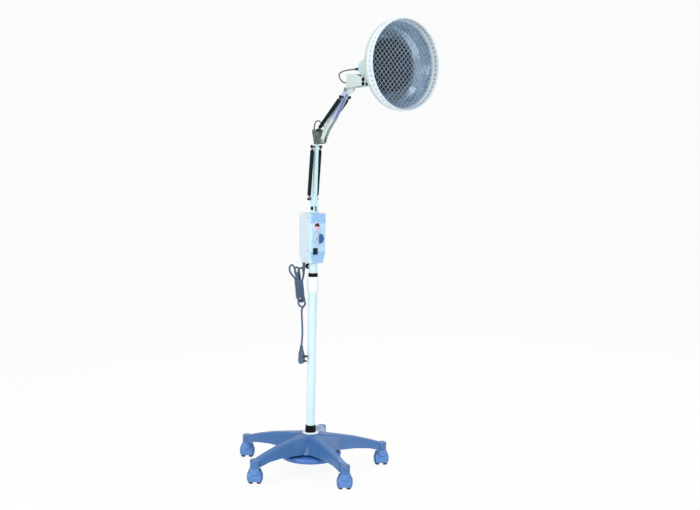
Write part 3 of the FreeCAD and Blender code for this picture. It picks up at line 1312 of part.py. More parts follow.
def add_head(parts):
    """The lamp head, which tilts on the bracket."""
    parts["rear_boss"] = rear_boss()
    parts["cable_boot"] = cone(BOOT_SMALL_R, BOOT_BIG_R, BOOT_LENGTH, BOOT_TIP, ALONG_X)
    parts["shade_shell"] = shade_shell()
    parts["reflector"] = reflector()
    parts["collar"] = collar()
    drum_x = DRUM_FRONT_X - DRUM_DEPTH
    drum = turned(
        [
            (0, drum_x),
            (DRUM_R - 6.0, drum_x),
            (DRUM_R, drum_x + 6.0),
            (DRUM_R, DRUM_FRONT_X),
            (DRUM_R - DRUM_WALL, DRUM_FRONT_X),
            (DRUM_R - DRUM_WALL, drum_x + 6.0 + DRUM_WALL),
            (DRUM_R - 6.0 - DRUM_WALL, drum_x + DRUM_WALL),
            (0, drum_x + DRUM_WALL),
        ]
    )
    studs = []
    rear = SHADE_X + SHADE_WALL
    for index in range(STUD_COUNT):
        angle = math.radians(90.0 + 360.0 / STUD_COUNT * index)
        place = V(STUD_CIRCLE_R * math.cos(angle), STUD_CIRCLE_R * math.sin(angle), rear)
        studs.append(cylinder(STUD_R, drum_x - rear, place))
    parts["heater_drum"] = on_head(fused([drum] + studs))
    parts["mineral_plate"] = on_head(
        turned(
            [
                (0, PLATE_FRONT_X - PLATE_T),
                (PLATE_R, PLATE_FRONT_X - PLATE_T),
                (PLATE_R, PLATE_FRONT_X - 1.5),
                (PLATE_R - 2.5, PLATE_FRONT_X),
                (0, PLATE_FRONT_X),
            ]
        )
    )
    former_x = PLATE_FRONT_X - PLATE_T - FORMER_T
    parts["heater_former"] = on_head(cylinder(FORMER_R, FORMER_T, V(0, 0, former_x)))
    ring_back = GUARD_SEAT_X + 0.8
    ring = tube(OPENING_R, OPENING_R - GUARD_RING_WIDTH, GUARD_RING_T, V(0, 0, ring_back))
    parts["guard_ring"] = on_head(ring)
    parts["guard_mesh"] = guard_wires()


# ================================================================ cords
def hank_point(u, v, z):
    """A point of the hanging cord: u along its plane, v towards the front of that plane."""
    angle = math.radians(HANK_AZIMUTH)
    x = u * math.cos(angle) + v * math.sin(angle)
    y = u * math.sin(angle) - v * math.cos(angle)
    return V(x, y, z)


def mains_cord_points():
    """The lead's uncoiled stretches: gland to hank, and hank to plug."""
    gland_end = V(GLAND_X, GLAND_Y, BOX_Z - GLAND_LENGTH)
    lead = [gland_end, gland_end + V(0.4, -0.3, -17.0), hank_point(-38.0, -1.5, gland_end.z - 31.7)]
    tail = [hank_point(u, v, BOX_Z - depth) for depth, u, v in TAIL_POINTS]
    return lead, tail


def hank():
    """The wound lead's outer shape: a fan of loops above, a wrapped waist, loops below."""
    wires = []
    turns = [math.radians(360.0 / HANK_SIDES * index) for index in range(HANK_SIDES)]
    for depth, u, half_u, half_v in HANK_STATIONS:
        corners = []
        for turn in turns:
            v = HANK_V + half_v * math.sin(turn)
            corners.append(hank_point(u + half_u * math.cos(turn), v, BOX_Z - depth))
        wires.append(Part.makePolygon(corners + corners[:1]))
    return Part.makeLoft(wires, True, True)


def plug_blade(y, z, slant):
    """One flat blade on the plug's face, turned in its own plane by slant degrees."""
    half_w = PLUG_WIDTH / 2.0
    wide = BLADE_HALF_WIDTH
    blade = block(half_w, half_w + BLADE_LENGTH, -BLADE_HALF_T, BLADE_HALF_T, -wide, wide)
    blade.rotate(ORIGIN, ALONG_X, slant)
    blade.translate(V(0, y, z))
    return blade


def plug():
    """Right-angle moulded plug: neck, rounded body with one corner cut away, three blades."""
    depth, u, v = TAIL_POINTS[-1]
    top = BOX_Z - depth
    shoulder = top - PLUG_NECK_LENGTH
    foot = shoulder - PLUG_HEIGHT
    neck = cone(5.6, 4.2, PLUG_NECK_LENGTH + 2.0, V(0, 0, shoulder - 2.0))
    half_w = PLUG_WIDTH / 2.0
    half_d = PLUG_DEPTH / 2.0
    wire = rounded_rectangle(-half_w, half_w, half_d, 5.0, foot)
    body = Part.Face(wire).extrude(V(0, 0, PLUG_HEIGHT))
    side = slab([(-half_w, foot), (half_w - PLUG_CORNER, foot), (half_w, foot + PLUG_CORNER),
                 (half_w, shoulder), (-half_w, shoulder)], half_d)
    earth_z = foot + EARTH_HEIGHT
    pair_z = earth_z + EARTH_BELOW
    half_gap = BLADE_SPACING / 2.0
    blades = [plug_blade(-half_gap, pair_z, BLADE_SLANT), plug_blade(half_gap, pair_z, -BLADE_SLANT),
              plug_blade(0.0, earth_z, 0.0)]
    pieces = [fused([neck, body.common(side)]), Part.makeCompound(blades)]
    for piece in pieces:
        piece.rotate(ORIGIN, UP, HANK_AZIMUTH - PLUG_TURN)
        piece.translate(hank_point(u, v, 0))
    return pieces


def in_arm_plane(base, offsets):
    """Points of a cable that lies in the arm plane, as (x, z) offsets from its base."""
    return [base + V(x, 0, z) for x, z in offsets]


def add_cords(parts):
    """The mains lead with its hank and plug, and the two short arm cables."""
    lead, tail = mains_cord_points()
    stretches = [cord_tube(lead, CORD_R, "lead"), cord_tube(tail, CORD_R, "tail")]
    parts["mains_cord"] = Part.makeCompound(stretches)
    parts["mains_cord_hank"] = hank()
    parts["plug_body"], parts["plug_blades"] = plug()
    elbow_points = in_arm_plane(V(UPPER_ANCHOR.x, 0, CASTING_TOP_Z), ELBOW_CABLE)
    parts["elbow_cable"] = cord_tube(elbow_points, ARM_CORD_R, "elbow cable")
    head_offsets = HEAD_CABLE + ((BRACKET_X - BOOT_TIP.x, -HEAD_CABLE_DROP),)
    parts["head_cable"] = cord_tube(in_arm_plane(BOOT_TIP, head_offsets), ARM_CORD_R, "head cable")


# ================================================================ output
def main():
    """Build every piece and write each one to its own STEP file."""
    os.makedirs("parts", exist_ok=True)
    parts = {}
    add_castors(parts)
    add_base(parts)
    parts["lock_ring"] = lock_ring()
    add_box(parts)
    add_controls(parts)
    add_turret_and_lower_arm(parts)
    add_upper_arm(parts)
    add_wrist(parts)
    add_head(parts)
    add_cords(parts)
    for name, shape in parts.items():
        shape.exportStep(f"parts/{name}.step")
    print(f"{len(parts)} pieces written")


main()
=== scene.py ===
"""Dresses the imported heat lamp: materials, fittings, springs, mains lead and a plain studio.

Everything is in metres in the frame's own axes: +Z up, +X the way the lamp reaches out.
"""

import json
import logging
import math
from dataclasses import dataclass
from enum import Enum
from typing import Callable, Iterable, Sequence

import bmesh
import bpy
from mathutils import Matrix, Vector

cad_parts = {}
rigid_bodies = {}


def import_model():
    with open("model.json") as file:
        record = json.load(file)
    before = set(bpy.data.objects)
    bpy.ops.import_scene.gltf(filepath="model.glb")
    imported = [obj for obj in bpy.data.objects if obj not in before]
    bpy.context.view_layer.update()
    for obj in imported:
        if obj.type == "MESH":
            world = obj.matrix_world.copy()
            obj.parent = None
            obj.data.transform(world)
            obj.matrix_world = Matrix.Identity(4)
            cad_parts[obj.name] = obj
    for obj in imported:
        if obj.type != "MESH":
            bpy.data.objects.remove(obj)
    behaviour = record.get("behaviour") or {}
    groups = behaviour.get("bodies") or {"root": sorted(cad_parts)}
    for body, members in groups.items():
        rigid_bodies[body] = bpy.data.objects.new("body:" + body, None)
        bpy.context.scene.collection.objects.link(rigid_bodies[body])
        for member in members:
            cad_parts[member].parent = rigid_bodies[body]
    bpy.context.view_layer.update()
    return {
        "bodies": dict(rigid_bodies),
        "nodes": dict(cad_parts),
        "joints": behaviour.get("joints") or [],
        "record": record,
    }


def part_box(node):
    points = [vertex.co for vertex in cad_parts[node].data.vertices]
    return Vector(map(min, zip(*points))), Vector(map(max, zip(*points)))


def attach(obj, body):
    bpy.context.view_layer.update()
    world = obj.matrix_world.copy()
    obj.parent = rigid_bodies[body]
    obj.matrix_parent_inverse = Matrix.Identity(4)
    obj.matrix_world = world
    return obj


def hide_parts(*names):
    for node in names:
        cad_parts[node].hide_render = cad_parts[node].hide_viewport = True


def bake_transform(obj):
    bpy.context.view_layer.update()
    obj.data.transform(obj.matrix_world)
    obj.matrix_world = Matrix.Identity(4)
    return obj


LOG = logging.getLogger("heat_lamp")
MM = 0.001
BOX_FACE = 0.027
FLOOR_WHITE = 0.93      # how much of the floor's own white the camera sees
VENTS = 60

Profile = Sequence[tuple[float, float]]
Colour = tuple[float, float, float, float]


# ---------------------------------------------------------------- colours and finishes
def hex_to_linear(code: str) -> Colour:
    """Turns an sRGB hex code into a linear colour.

    Args:
        code: Six hex digits, with or without a leading hash sign.

    Returns:
        Linear red, green, blue and an alpha of one.
    """
    digits = code.lstrip("#")
    channels = [int(digits[i:i + 2], 16) / 255.0 for i in (0, 2, 4)]
    linear = [c / 12.92 if c <= 0.04045 else ((c + 0.055) / 1.055) ** 2.4 for c in channels]
    return linear[0], linear[1], linear[2], 1.0


class Texture(Enum):
    """The small-scale relief that a finish has."""

    SMOOTH = "smooth"
    ORANGE_PEEL = "orange peel of powder coat"
    GRAIN = "fine moulded grain"
    CAST = "coarse cast skin"
    DRAWN = "lines drawn along the piece"
    GRANULAR = "pressed mineral grains"
    RIBBED = "close ribs across the piece"


@dataclass(frozen=True)
class Finish:
    """How one material looks.

    Args:
        name: The material's name.
        base: Main colour as an sRGB hex code.
        shade: Colour of the darker or dirtier patches.
        roughness: Middle roughness.
        spread: How far the roughness wanders either way.
        metallic: Zero for paint and plastic, one for bare metal.
        coat: Weight of the clear coat.
        texture: Kind of small relief.
        relief_mm: Height of the small relief.
        grain_mm: Size of one grain of it.
        patch_mm: Size of the colour patches.
        patch_share: How strongly the patches show.
        wear: How far its edges are rubbed lighter.
        specular: Strength of the plain surface reflection.
    """

    name: str
    base: str
    shade: str
    roughness: float
    spread: float = 0.06
    metallic: float = 0.0
    coat: float = 0.0
    texture: Texture = Texture.SMOOTH
    relief_mm: float = 0.02
    grain_mm: float = 1.0
    patch_mm: float = 60.0
    patch_share: float = 0.25
    wear: float = 0.3
    specular: float = 0.5


BASE_BLUE = Finish("base_blue", "426FA6", "365E90", 0.34, coat=0.3, texture=Texture.GRAIN, relief_mm=0.03,
                   grain_mm=0.7)
CASTOR_BLUE = Finish("castor_blue", "5B8AC8", "4673B0", 0.36, coat=0.15, texture=Texture.GRAIN,
                     grain_mm=0.5, patch_mm=20.0)
WEIGHT_BLUE = Finish("weight_blue", "3F74C4", "2E5CA4", 0.26, coat=0.7, texture=Texture.CAST,
                     relief_mm=0.05, grain_mm=2.0)
TYRE = Finish("tyre_navy", "16233F", "25324E", 0.6, texture=Texture.GRAIN, grain_mm=0.4, patch_mm=12.0)
WHITE_MOULDING = Finish("white_moulding", "EEF8FA", "E0ECEF", 0.32, coat=0.35, texture=Texture.GRAIN,
                        relief_mm=0.01)
WHITE_PAINT = Finish("white_paint", "D6EEF6", "C6E0EA", 0.24, coat=0.6, texture=Texture.ORANGE_PEEL,
                     relief_mm=0.012, grain_mm=1.6)
BLACK_RUBBER = Finish("black_rubber", "0B0D10", "17191C", 0.6, texture=Texture.GRAIN, grain_mm=0.5,
                      wear=0.1, specular=0.12)
BLACK_PLASTIC = Finish("black_plastic", "08090B", "101214", 0.45, texture=Texture.GRAIN, grain_mm=0.4,
                       patch_mm=15.0, wear=0.1, specular=0.12)
SWITCH_BLACK = Finish("switch_black", "08242E", "0F323E", 0.34, texture=Texture.GRAIN, grain_mm=0.4,
                      patch_mm=8.0, wear=0.1, specular=0.25)
ZINC = Finish("zinc_plate", "AEB4B8", "8D9498", 0.34, metallic=1.0, texture=Texture.DRAWN, relief_mm=0.01,
              patch_mm=12.0)
DARK_NUT = Finish("dark_nut", "0C1114", "1A2023", 0.45, metallic=0.4, patch_mm=8.0, specular=0.2)
CHROME = Finish("chrome_tube", "C9CDD1", "B4B9BE", 0.1, spread=0.03, metallic=1.0, texture=Texture.DRAWN,
                relief_mm=0.003)
NYLON = Finish("nylon", "E8E6DF", "D8D5CB", 0.5, texture=Texture.GRAIN)
CASTING = Finish("grey_casting", "727B77", "333C3A", 0.44, metallic=0.35, texture=Texture.CAST,
                 relief_mm=0.08, grain_mm=1.4, patch_mm=9.0, patch_share=0.8, wear=0.5)
PALE_CASTING = Finish("pale_casting", "D3DEDF", "BBC9CA", 0.38, metallic=0.1, texture=Texture.CAST,
                      relief_mm=0.04, grain_mm=1.3, patch_mm=16.0)
BOX_SIDE = Finish("box_side", "CFDFE6", "C0D2DA", 0.42, coat=0.15, texture=Texture.ORANGE_PEEL,
                  relief_mm=0.03, grain_mm=1.8)
BOX_FRONT = Finish("box_front", "9CC8F0", "8CBAE6", 0.32, coat=0.3, texture=Texture.GRAIN, relief_mm=0.015)
KNOB_PALE = Finish("knob_pale", "BDD6E6", "AAC6D8", 0.33, coat=0.2, patch_mm=15.0)
KNOB_BLUE = Finish("knob_blue", "2C659E", "1F4D80", 0.26, coat=0.5, patch_mm=12.0)
DIAL_MARK = Finish("dial_mark", "5590A8", "447E96", 0.45, patch_mm=6.0, wear=0.0)
LENS = Finish("lamp_lens", "3A0A33", "2A0626", 0.1, spread=0.03, coat=0.8, patch_mm=5.0, wear=0.0)
BEZEL = Finish("lamp_bezel", "F3DEEE", "E6CDE0", 0.28, coat=0.4, patch_mm=8.0)
PINS = Finish("plug_pins", "3B4248", "2A3036", 0.3, metallic=1.0, texture=Texture.DRAWN, relief_mm=0.01,
              patch_mm=8.0, wear=0.5)
CORD_GREY = Finish("cord_grey", "4C607A", "394A60", 0.36, texture=Texture.GRAIN, relief_mm=0.02,
                   grain_mm=0.5, patch_mm=18.0, wear=0.15)
ARM_PALE = Finish("arm_pale", "D2F0F8", "BEE0EA", 0.28, coat=0.5, texture=Texture.ORANGE_PEEL,
                  relief_mm=0.012, grain_mm=1.5)
# The lavender-blue on the upper arm's upper part is painted shade, laid over this finish where the arm is
# dressed.
ARM_GREEN = Finish("arm_lavender", "CFDEDA", "BCCDC9", 0.3, coat=0.4, texture=Texture.ORANGE_PEEL,
                   relief_mm=0.012, grain_mm=1.5)
SLEEVE = Finish("spring_green", "04191B", "0B2427", 0.5, texture=Texture.RIBBED, relief_mm=0.12,
                grain_mm=1.9, patch_mm=20.0, wear=0.1, specular=0.15)
SPRING_WIRE = Finish("spring_wire", "6E787C", "50595D", 0.3, metallic=0.9, patch_mm=6.0)
PIN_HEAD = Finish("pin_head", "0A0F14", "161C22", 0.42, metallic=0.3, patch_mm=8.0, wear=0.2, specular=0.2)
CABLE_GREEN = Finish("cable_grey", "5E6A66", "4C5754", 0.46, texture=Texture.GRAIN, grain_mm=0.5,
                     patch_mm=16.0, wear=0.15)
BOOT_DARK = Finish("boot_grey", "1E2627", "2D3536", 0.48, texture=Texture.GRAIN, patch_mm=16.0, wear=0.2)
BRACKET = Finish("bracket_pale", "C9D5D2", "B4C2BF", 0.34, coat=0.35, texture=Texture.ORANGE_PEEL,
                 relief_mm=0.02, grain_mm=1.6)
BOSS = Finish("boss_pale", "B5CDD0", "9FBABD", 0.3, coat=0.45, texture=Texture.ORANGE_PEEL, relief_mm=0.02,
              grain_mm=1.8)
SHADE = Finish("shade_enamel", "BCC8C0", "A6B4AB", 0.32, coat=0.45, texture=Texture.ORANGE_PEEL,
               relief_mm=0.03, grain_mm=2.2)
RIM = Finish("shade_paint", "DCE7EC", "CAD8DE", 0.28, coat=0.45, texture=Texture.ORANGE_PEEL,
             relief_mm=0.015, grain_mm=1.8)
# painted reflection: the pale steel-blue tint of the reflector's colour stands in for the bluish surround
# that the polished metal reflects
REFLECTOR = Finish("reflector", "CFE4F7", "B0CFE9", 0.17, spread=0.04, metallic=0.66, texture=Texture.DRAWN,
                   relief_mm=0.01, grain_mm=1.2, wear=0.0)
ENAMEL_BLACK = Finish("enamel_black", "14151B", "22242C", 0.45, texture=Texture.CAST, relief_mm=0.03)
CERAMIC = Finish("ceramic", "DDD6C8", "C9C1B1", 0.7, texture=Texture.CAST)
MINERAL = Finish("mineral_plate", "07080E", "14161F", 0.58, texture=Texture.GRANULAR, relief_mm=0.18,
                 grain_mm=1.3, patch_mm=22.0, patch_share=0.4, wear=0.1)
GUARD = Finish("guard_wire", "A3B6C8", "8799AC", 0.3, metallic=0.5, patch_mm=14.0, wear=0.0)


def add_node(tree: bpy.types.NodeTree, kind: str, settings: dict | None = None,
             inputs: dict | None = None) -> bpy.types.Node:
    """Adds one shader node.

    Args:
        tree: The material's node tree.
        kind: Blender's name of the node type.
        settings: Node properties to set.
        inputs: Socket names or indices with a value each, or an output socket to link from.

    Returns:
        The new node.
    """
    node = tree.nodes.new(kind)
    for key, value in (settings or {}).items():
        setattr(node, key, value)
    for key, value in (inputs or {}).items():
        if isinstance(value, bpy.types.NodeSocket):
            tree.links.new(value, node.inputs[key])
        else:
            node.inputs[key].default_value = value
    return node


def calculate(tree: bpy.types.NodeTree, operation: str, *values: object) -> bpy.types.NodeSocket:
    """Adds one arithmetic node.

    Args:
        tree: The material's node tree.
        operation: Blender's name of the sum.
        values: Its numbers, or the sockets that give them.

    Returns:
        The socket that holds the result.
    """
    node = add_node(tree, "ShaderNodeMath", {"operation": operation}, dict(enumerate(values)))
    return node.outputs["Value"]


class MaterialShop:
    """Makes each finish's node material once and hands it out."""

    def __init__(self) -> None:
        """Starts with no material made."""
        self._made: dict[str, bpy.types.Material] = {}

    def get(self, finish: Finish) -> bpy.types.Material:
        """Finds or makes a finish's material.

        Args:
            finish: The finish wanted.

        Returns:
            Its material.
        """
        if finish.name not in self._made:
            self._made[finish.name] = self._make(finish)
        return self._made[finish.name]

    def _make(self, finish: Finish) -> bpy.types.Material:
        """Builds one finish as a node material.

        Args:
            finish: What to build.

        Returns:
            The new material.
        """
        material = bpy.data.materials.new(finish.name)
        material.use_nodes = True
        tree = material.node_tree
        shader = tree.nodes["Principled BSDF"]
        shader.inputs["Metallic"].default_value = finish.metallic
        shader.inputs["Coat Weight"].default_value = finish.coat
        shader.inputs["Coat Roughness"].default_value = 0.08
        shader.inputs["Specular IOR Level"].default_value = finish.specular
        place = add_node(tree, "ShaderNodeTexCoord").outputs["Object"]
        patches = add_node(tree, "ShaderNodeTexNoise", None,
                           {"Vector": place, "Scale": 1.0 / (finish.patch_mm * MM), "Detail": 3.0})
        ramp = add_node(tree, "ShaderNodeMapRange", None,
                        {"Value": patches.outputs["Fac"], "From Min": 0.42, "From Max": 0.72,
                         "To Max": finish.patch_share})
        colour = add_node(tree, "ShaderNodeMix", {"data_type": "RGBA"}, {"Factor": ramp.outputs["Result"]})
        colour.inputs[6].default_value = hex_to_linear(finish.base)
        colour.inputs[7].default_value = hex_to_linear(finish.shade)
        tree.links.new(self._worn(tree, colour.outputs[2], patches.outputs["Fac"], finish),
                       shader.inputs["Base Color"])
        gloss = add_node(tree, "ShaderNodeMapRange", None,
                         {"Value": patches.outputs["Fac"], "From Min": 0.3, "From Max": 0.7,
                          "To Min": finish.roughness - finish.spread,
                          "To Max": finish.roughness + finish.spread})
        tree.links.new(gloss.outputs["Result"], shader.inputs["Roughness"])
        self._relief(tree, shader, place, finish)
        return material

    def _worn(self, tree: bpy.types.NodeTree, colour: bpy.types.NodeSocket, patches: bpy.types.NodeSocket,
              finish: Finish) -> bpy.types.NodeSocket:
        """Rubs the edges of a finish lighter, unevenly.

        Args:
            tree: The material's node tree.
            colour: The colour away from the edges.
            patches: Noise that breaks the wear up.
            finish: The finish.

        Returns:
            The colour with its worn edges.
        """
        if finish.wear <= 0.0:
            return colour
        rounded = add_node(tree, "ShaderNodeBevel", {"samples": 4}, {"Radius": 0.7 * MM})
        true_normal = add_node(tree, "ShaderNodeNewGeometry").outputs["Normal"]
        turn = add_node(tree, "ShaderNodeVectorMath", {"operation": "DOT_PRODUCT"},
                        {0: rounded.outputs["Normal"], 1: true_normal})
        edge = add_node(tree, "ShaderNodeMapRange", None,
                        {"Value": turn.outputs["Value"], "From Min": 0.985, "From Max": 0.80,
                         "To Max": 1.6 * finish.wear})
        share = add_node(tree, "ShaderNodeMath", {"operation": "MULTIPLY"},
                         {0: edge.outputs["Result"], 1: patches})
        rubbed = add_node(tree, "ShaderNodeMix", {"data_type": "RGBA"}, {"Factor": share.outputs["Value"]})
        tree.links.new(colour, rubbed.inputs[6])
        base = hex_to_linear(finish.base)
        rubbed.inputs[7].default_value = (*(c + (1.0 - c) * 0.4 for c in base[:3]), 1.0)
        return rubbed.outputs[2]

    def _relief(self, tree: bpy.types.NodeTree, shader: bpy.types.Node, place: bpy.types.NodeSocket,
                finish: Finish) -> None:
        """Gives the shader the finish's fine relief.

        Args:
            tree: The material's node tree.
            shader: The shader whose normal is set.
            place: Where the pattern's coordinates come from.
            finish: Which texture it has, and how coarse and deep it is.
        """
        scale = 1.0 / (finish.grain_mm * MM)
        if finish.texture is Texture.SMOOTH:
            return
        if finish.texture is Texture.GRANULAR:
            grains = add_node(tree, "ShaderNodeTexVoronoi", None, {"Vector": place, "Scale": scale})
            height = grains.outputs["Distance"]
        elif finish.texture is Texture.RIBBED:
            ribs = add_node(tree, "ShaderNodeTexWave", {"bands_direction": "Z"},
                            {"Vector": place, "Scale": scale / 20.0, "Distortion": 0.6, "Detail": 1.0})
            height = ribs.outputs["Fac"]
        elif finish.texture is Texture.DRAWN:
            stretch = add_node(tree, "ShaderNodeMapping", None,
                               {"Vector": place, "Scale": (1.0, 1.0, 0.04)})
            lines = add_node(tree, "ShaderNodeTexNoise", None,
                             {"Vector": stretch.outputs["Vector"], "Scale": scale, "Detail": 2.0})
            height = lines.outputs["Fac"]
        else:
            detail = 4.0 if finish.texture is Texture.CAST else 1.0
            noise = add_node(tree, "ShaderNodeTexNoise", None,
                             {"Vector": place, "Scale": scale, "Detail": detail, "Roughness": 0.55})
            height = noise.outputs["Fac"]
        bump = add_node(tree, "ShaderNodeBump", None,
                        {"Height": height, "Strength": 0.6, "Distance": finish.relief_mm * MM})
        tree.links.new(bump.outputs["Normal"], shader.inputs["Normal"])


def band_mask(tree: bpy.types.NodeTree, height: bpy.types.NodeSocket, low: float, high: float,
              edge: float) -> bpy.types.NodeSocket:
    """Marks a level band of a surface.

    Args:
        tree: The material's node tree.
        height: The point's height in metres.
        low: The band's lower edge.
        high: The band's upper edge.
        edge: Width over which each edge fades.

    Returns:
        A socket that is one inside the band and zero outside it.
    """
    rise = add_node(tree, "ShaderNodeMapRange", {"interpolation_type": "SMOOTHSTEP"},
                    {"Value": height, "From Min": low - edge, "From Max": low + edge})
    fall = add_node(tree, "ShaderNodeMapRange", {"interpolation_type": "SMOOTHSTEP"},
                    {"Value": height, "From Min": high - edge, "From Max": high + edge, "To Min": 1.0,
                     "To Max": 0.0})
    both = add_node(tree, "ShaderNodeMath", {"operation": "MULTIPLY"},
                    {0: rise.outputs["Result"], 1: fall.outputs["Result"]})
    return both.outputs["Value"]


def painted_light_gradient(shop: MaterialShop, finish: Finish, other: str, direction: tuple[float, float, float],
             start: float, end: float) -> bpy.types.Material:
    """A finish that changes to a second colour along one direction; that second colour is painted light:
    painted shade on the upper arm, a painted highlight on the indicator's lens.

    Args:
        shop: Where the finish comes from.
        finish: The finish at the near end.
        other: Hex colour at the far end.
        direction: Unit direction of the change.
        start: Distance from the origin along it, in metres, where the change begins.
        end: Distance where it is complete.

    Returns:
        The two-coloured material.
    """
    material = shop.get(finish).copy()
    material.name = f"{finish.name}_painted_light_gradient"
    tree = material.node_tree
    shader = tree.nodes["Principled BSDF"]
    near = shader.inputs["Base Color"].links[0].from_socket
    place = add_node(tree, "ShaderNodeTexCoord").outputs["Object"]
    along = add_node(tree, "ShaderNodeVectorMath", {"operation": "DOT_PRODUCT"}, {0: place, 1: direction})
    share = add_node(tree, "ShaderNodeMapRange", {"interpolation_type": "SMOOTHSTEP"},
                     {"Value": along.outputs["Value"], "From Min": start, "From Max": end})
    tint = add_node(tree, "ShaderNodeMix", {"data_type": "RGBA"}, {"Factor": share.outputs["Result"]})
    tree.links.new(near, tint.inputs[6])
    tint.inputs[7].default_value = hex_to_linear(other)
    tree.links.new(tint.outputs[2], shader.inputs["Base Color"])
    return material


def panel_material(shop: MaterialShop, low: float, high: float, face: float) -> bpy.types.Material:
    """The front panel: a lighter middle between a pale blue band above and one below.

    Args:
        shop: Where the plain panel finish comes from.
        low: Height of the panel's foot in metres.
        high: Height of its top.
        face: How far ahead of the pole's axis its front lies; its corners turn pale behind that.

    Returns:
        The banded material.
    """
    material = shop.get(BOX_FRONT).copy()
    material.name = "box_front_bands"
    tree = material.node_tree
    shader = tree.nodes["Principled BSDF"]
    below = shader.inputs["Base Color"].links[0].from_socket
    place = add_node(tree, "ShaderNodeTexCoord").outputs["Object"]
    xyz = add_node(tree, "ShaderNodeSeparateXYZ", None, {0: place})
    span = high - low
    middle = band_mask(tree, xyz.outputs["Z"], low + 0.24 * span, low + 0.80 * span, 0.004)
    tint = add_node(tree, "ShaderNodeMix", {"data_type": "RGBA"}, {"Factor": middle})
    tree.links.new(below, tint.inputs[6])
    tint.inputs[7].default_value = hex_to_linear("BFE2FB")
    front = add_node(tree, "ShaderNodeMapRange", {"interpolation_type": "SMOOTHSTEP"},
                     {"Value": xyz.outputs["X"], "From Min": face - 6.5 * MM, "From Max": face - 0.8 * MM})
    turned = add_node(tree, "ShaderNodeMix", {"data_type": "RGBA"}, {"Factor": front.outputs["Result"]})
    turned.inputs[6].default_value = hex_to_linear("CBE2F2")
    tree.links.new(tint.outputs[2], turned.inputs[7])
    tree.links.new(turned.outputs[2], shader.inputs["Base Color"])
    return material


def collar_material(shop: MaterialShop, rim_x: float, axis_z: float, wall_r: float) -> bpy.types.Material:
    """The vented collar, with painted shade: darker dashes painted round its inner wall between bright
    slots, as the vents' shadows.

    Args:
        shop: Where the plain collar finish comes from.
        rim_x: Where the collar ends in front, in metres.
        axis_z: Height of its axis.
        wall_r: Radius that parts its inner wall from its outer one.

    Returns:
        The collar material with its painted vent shade.
    """
    material = shop.get(RIM).copy()
    material.name = "collar_painted_vent_shade"
    tree = material.node_tree
    shader = tree.nodes["Principled BSDF"]
    below = shader.inputs["Base Color"].links[0].from_socket
    place = add_node(tree, "ShaderNodeTexCoord").outputs["Object"]
    xyz = add_node(tree, "ShaderNodeSeparateXYZ", None, {0: place})
    up = calculate(tree, "SUBTRACT", xyz.outputs["Z"], axis_z)
    angle = calculate(tree, "ARCTAN2", up, xyz.outputs["Y"])
    wave = calculate(tree, "MULTIPLY", angle, float(VENTS))
    vent_wave = calculate(tree, "COSINE", wave)
    between = add_node(tree, "ShaderNodeMapRange", None,
                       {"Value": vent_wave, "From Min": -0.1, "From Max": -0.6})
    squares = [calculate(tree, "MULTIPLY", side, side) for side in (up, xyz.outputs["Y"])]
    radius = calculate(tree, "ADD", *squares)
    inner = calculate(tree, "LESS_THAN", radius, wall_r ** 2)
    band = band_mask(tree, xyz.outputs["X"], rim_x - 15.0 * MM, rim_x - 5.0 * MM, 0.8 * MM)
    inside = calculate(tree, "MULTIPLY", band, inner)
    share = calculate(tree, "MULTIPLY", inside, between.outputs["Result"])
    tint = add_node(tree, "ShaderNodeMix", {"data_type": "RGBA"}, {"Factor": share})
    tree.links.new(below, tint.inputs[6])
    # painted shade: the colour of the darker dashes round the collar's inner wall, as the vents' shadows
    tint.inputs[7].default_value = hex_to_linear("9AABB9")
    tree.links.new(tint.outputs[2], shader.inputs["Base Color"])
    return material


# ---------------------------------------------------------------- mesh helpers
def flag_sharp(mesh: bmesh.types.BMesh, angle_deg: float = 32.0) -> None:
    """Smooths every face and keeps edges sharper than the angle crisp.

    Args:
        mesh: The mesh to mark.
        angle_deg: Angle between faces above which an edge stays sharp.
    """
    for face in mesh.faces:
        face.smooth = True
    for edge in mesh.edges:
        if len(edge.link_faces) == 2 and edge.calc_face_angle(0.0) > math.radians(angle_deg):
            edge.smooth = False


def as_object(name: str, mesh: bmesh.types.BMesh, material: bpy.types.Material) -> bpy.types.Object:
    """Turns a mesh under construction into an object in the scene.

    Args:
        name: The object's name.
        mesh: The mesh, which is freed.
        material: The material for all of it.

    Returns:
        The new object.
    """
    bmesh.ops.remove_doubles(mesh, verts=mesh.verts, dist=1e-6)
    bmesh.ops.recalc_face_normals(mesh, faces=mesh.faces)
    flag_sharp(mesh)
    data = bpy.data.meshes.new(name)
    mesh.to_mesh(data)
    mesh.free()
    data.materials.append(material)
    made = bpy.data.objects.new(name, data)
    bpy.context.scene.collection.objects.link(made)
    return made


def frame_along(axis: Vector) -> Matrix:
    """A turn that carries +Z onto an axis.

    Args:
        axis: The direction wanted.

    Returns:
        The turn as a four by four matrix.
    """
    return axis.to_track_quat("Z", "Y").to_matrix().to_4x4()


def add_lathe(mesh: bmesh.types.BMesh, profile: Profile, place: Vector, axis: Vector,
              sides: int = 48) -> None:
    """Adds a turned form to a mesh.

    Args:
        mesh: The mesh to add to.
        profile: Radius and height pairs along the axis, in metres.
        place: Where height zero lies.
        axis: Direction of rising height.
        sides: Segments round the axis.
    """
    turn = Matrix.Translation(place) @ frame_along(axis)
    rings = []
    for radius, height in profile:
        if radius < 1e-7:
            rings.append([mesh.verts.new(turn @ Vector((0, 0, height)))])
            continue
        ring = []
        for index in range(sides):
            angle = 2.0 * math.pi * index / sides
            point = Vector((radius * math.cos(angle), radius * math.sin(angle), height))
            ring.append(mesh.verts.new(turn @ point))
        rings.append(ring)
    for lower, upper in zip(rings, rings[1:]):
        for index in range(sides):
            after = (index + 1) % sides
            if len(lower) == 1 and len(upper) == 1:
                continue
            if len(lower) == 1:
                mesh.faces.new((lower[0], upper[index], upper[after]))
            elif len(upper) == 1:
                mesh.faces.new((lower[index], lower[after], upper[0]))
            else:
                mesh.faces.new((lower[index], lower[after], upper[after], upper[index]))


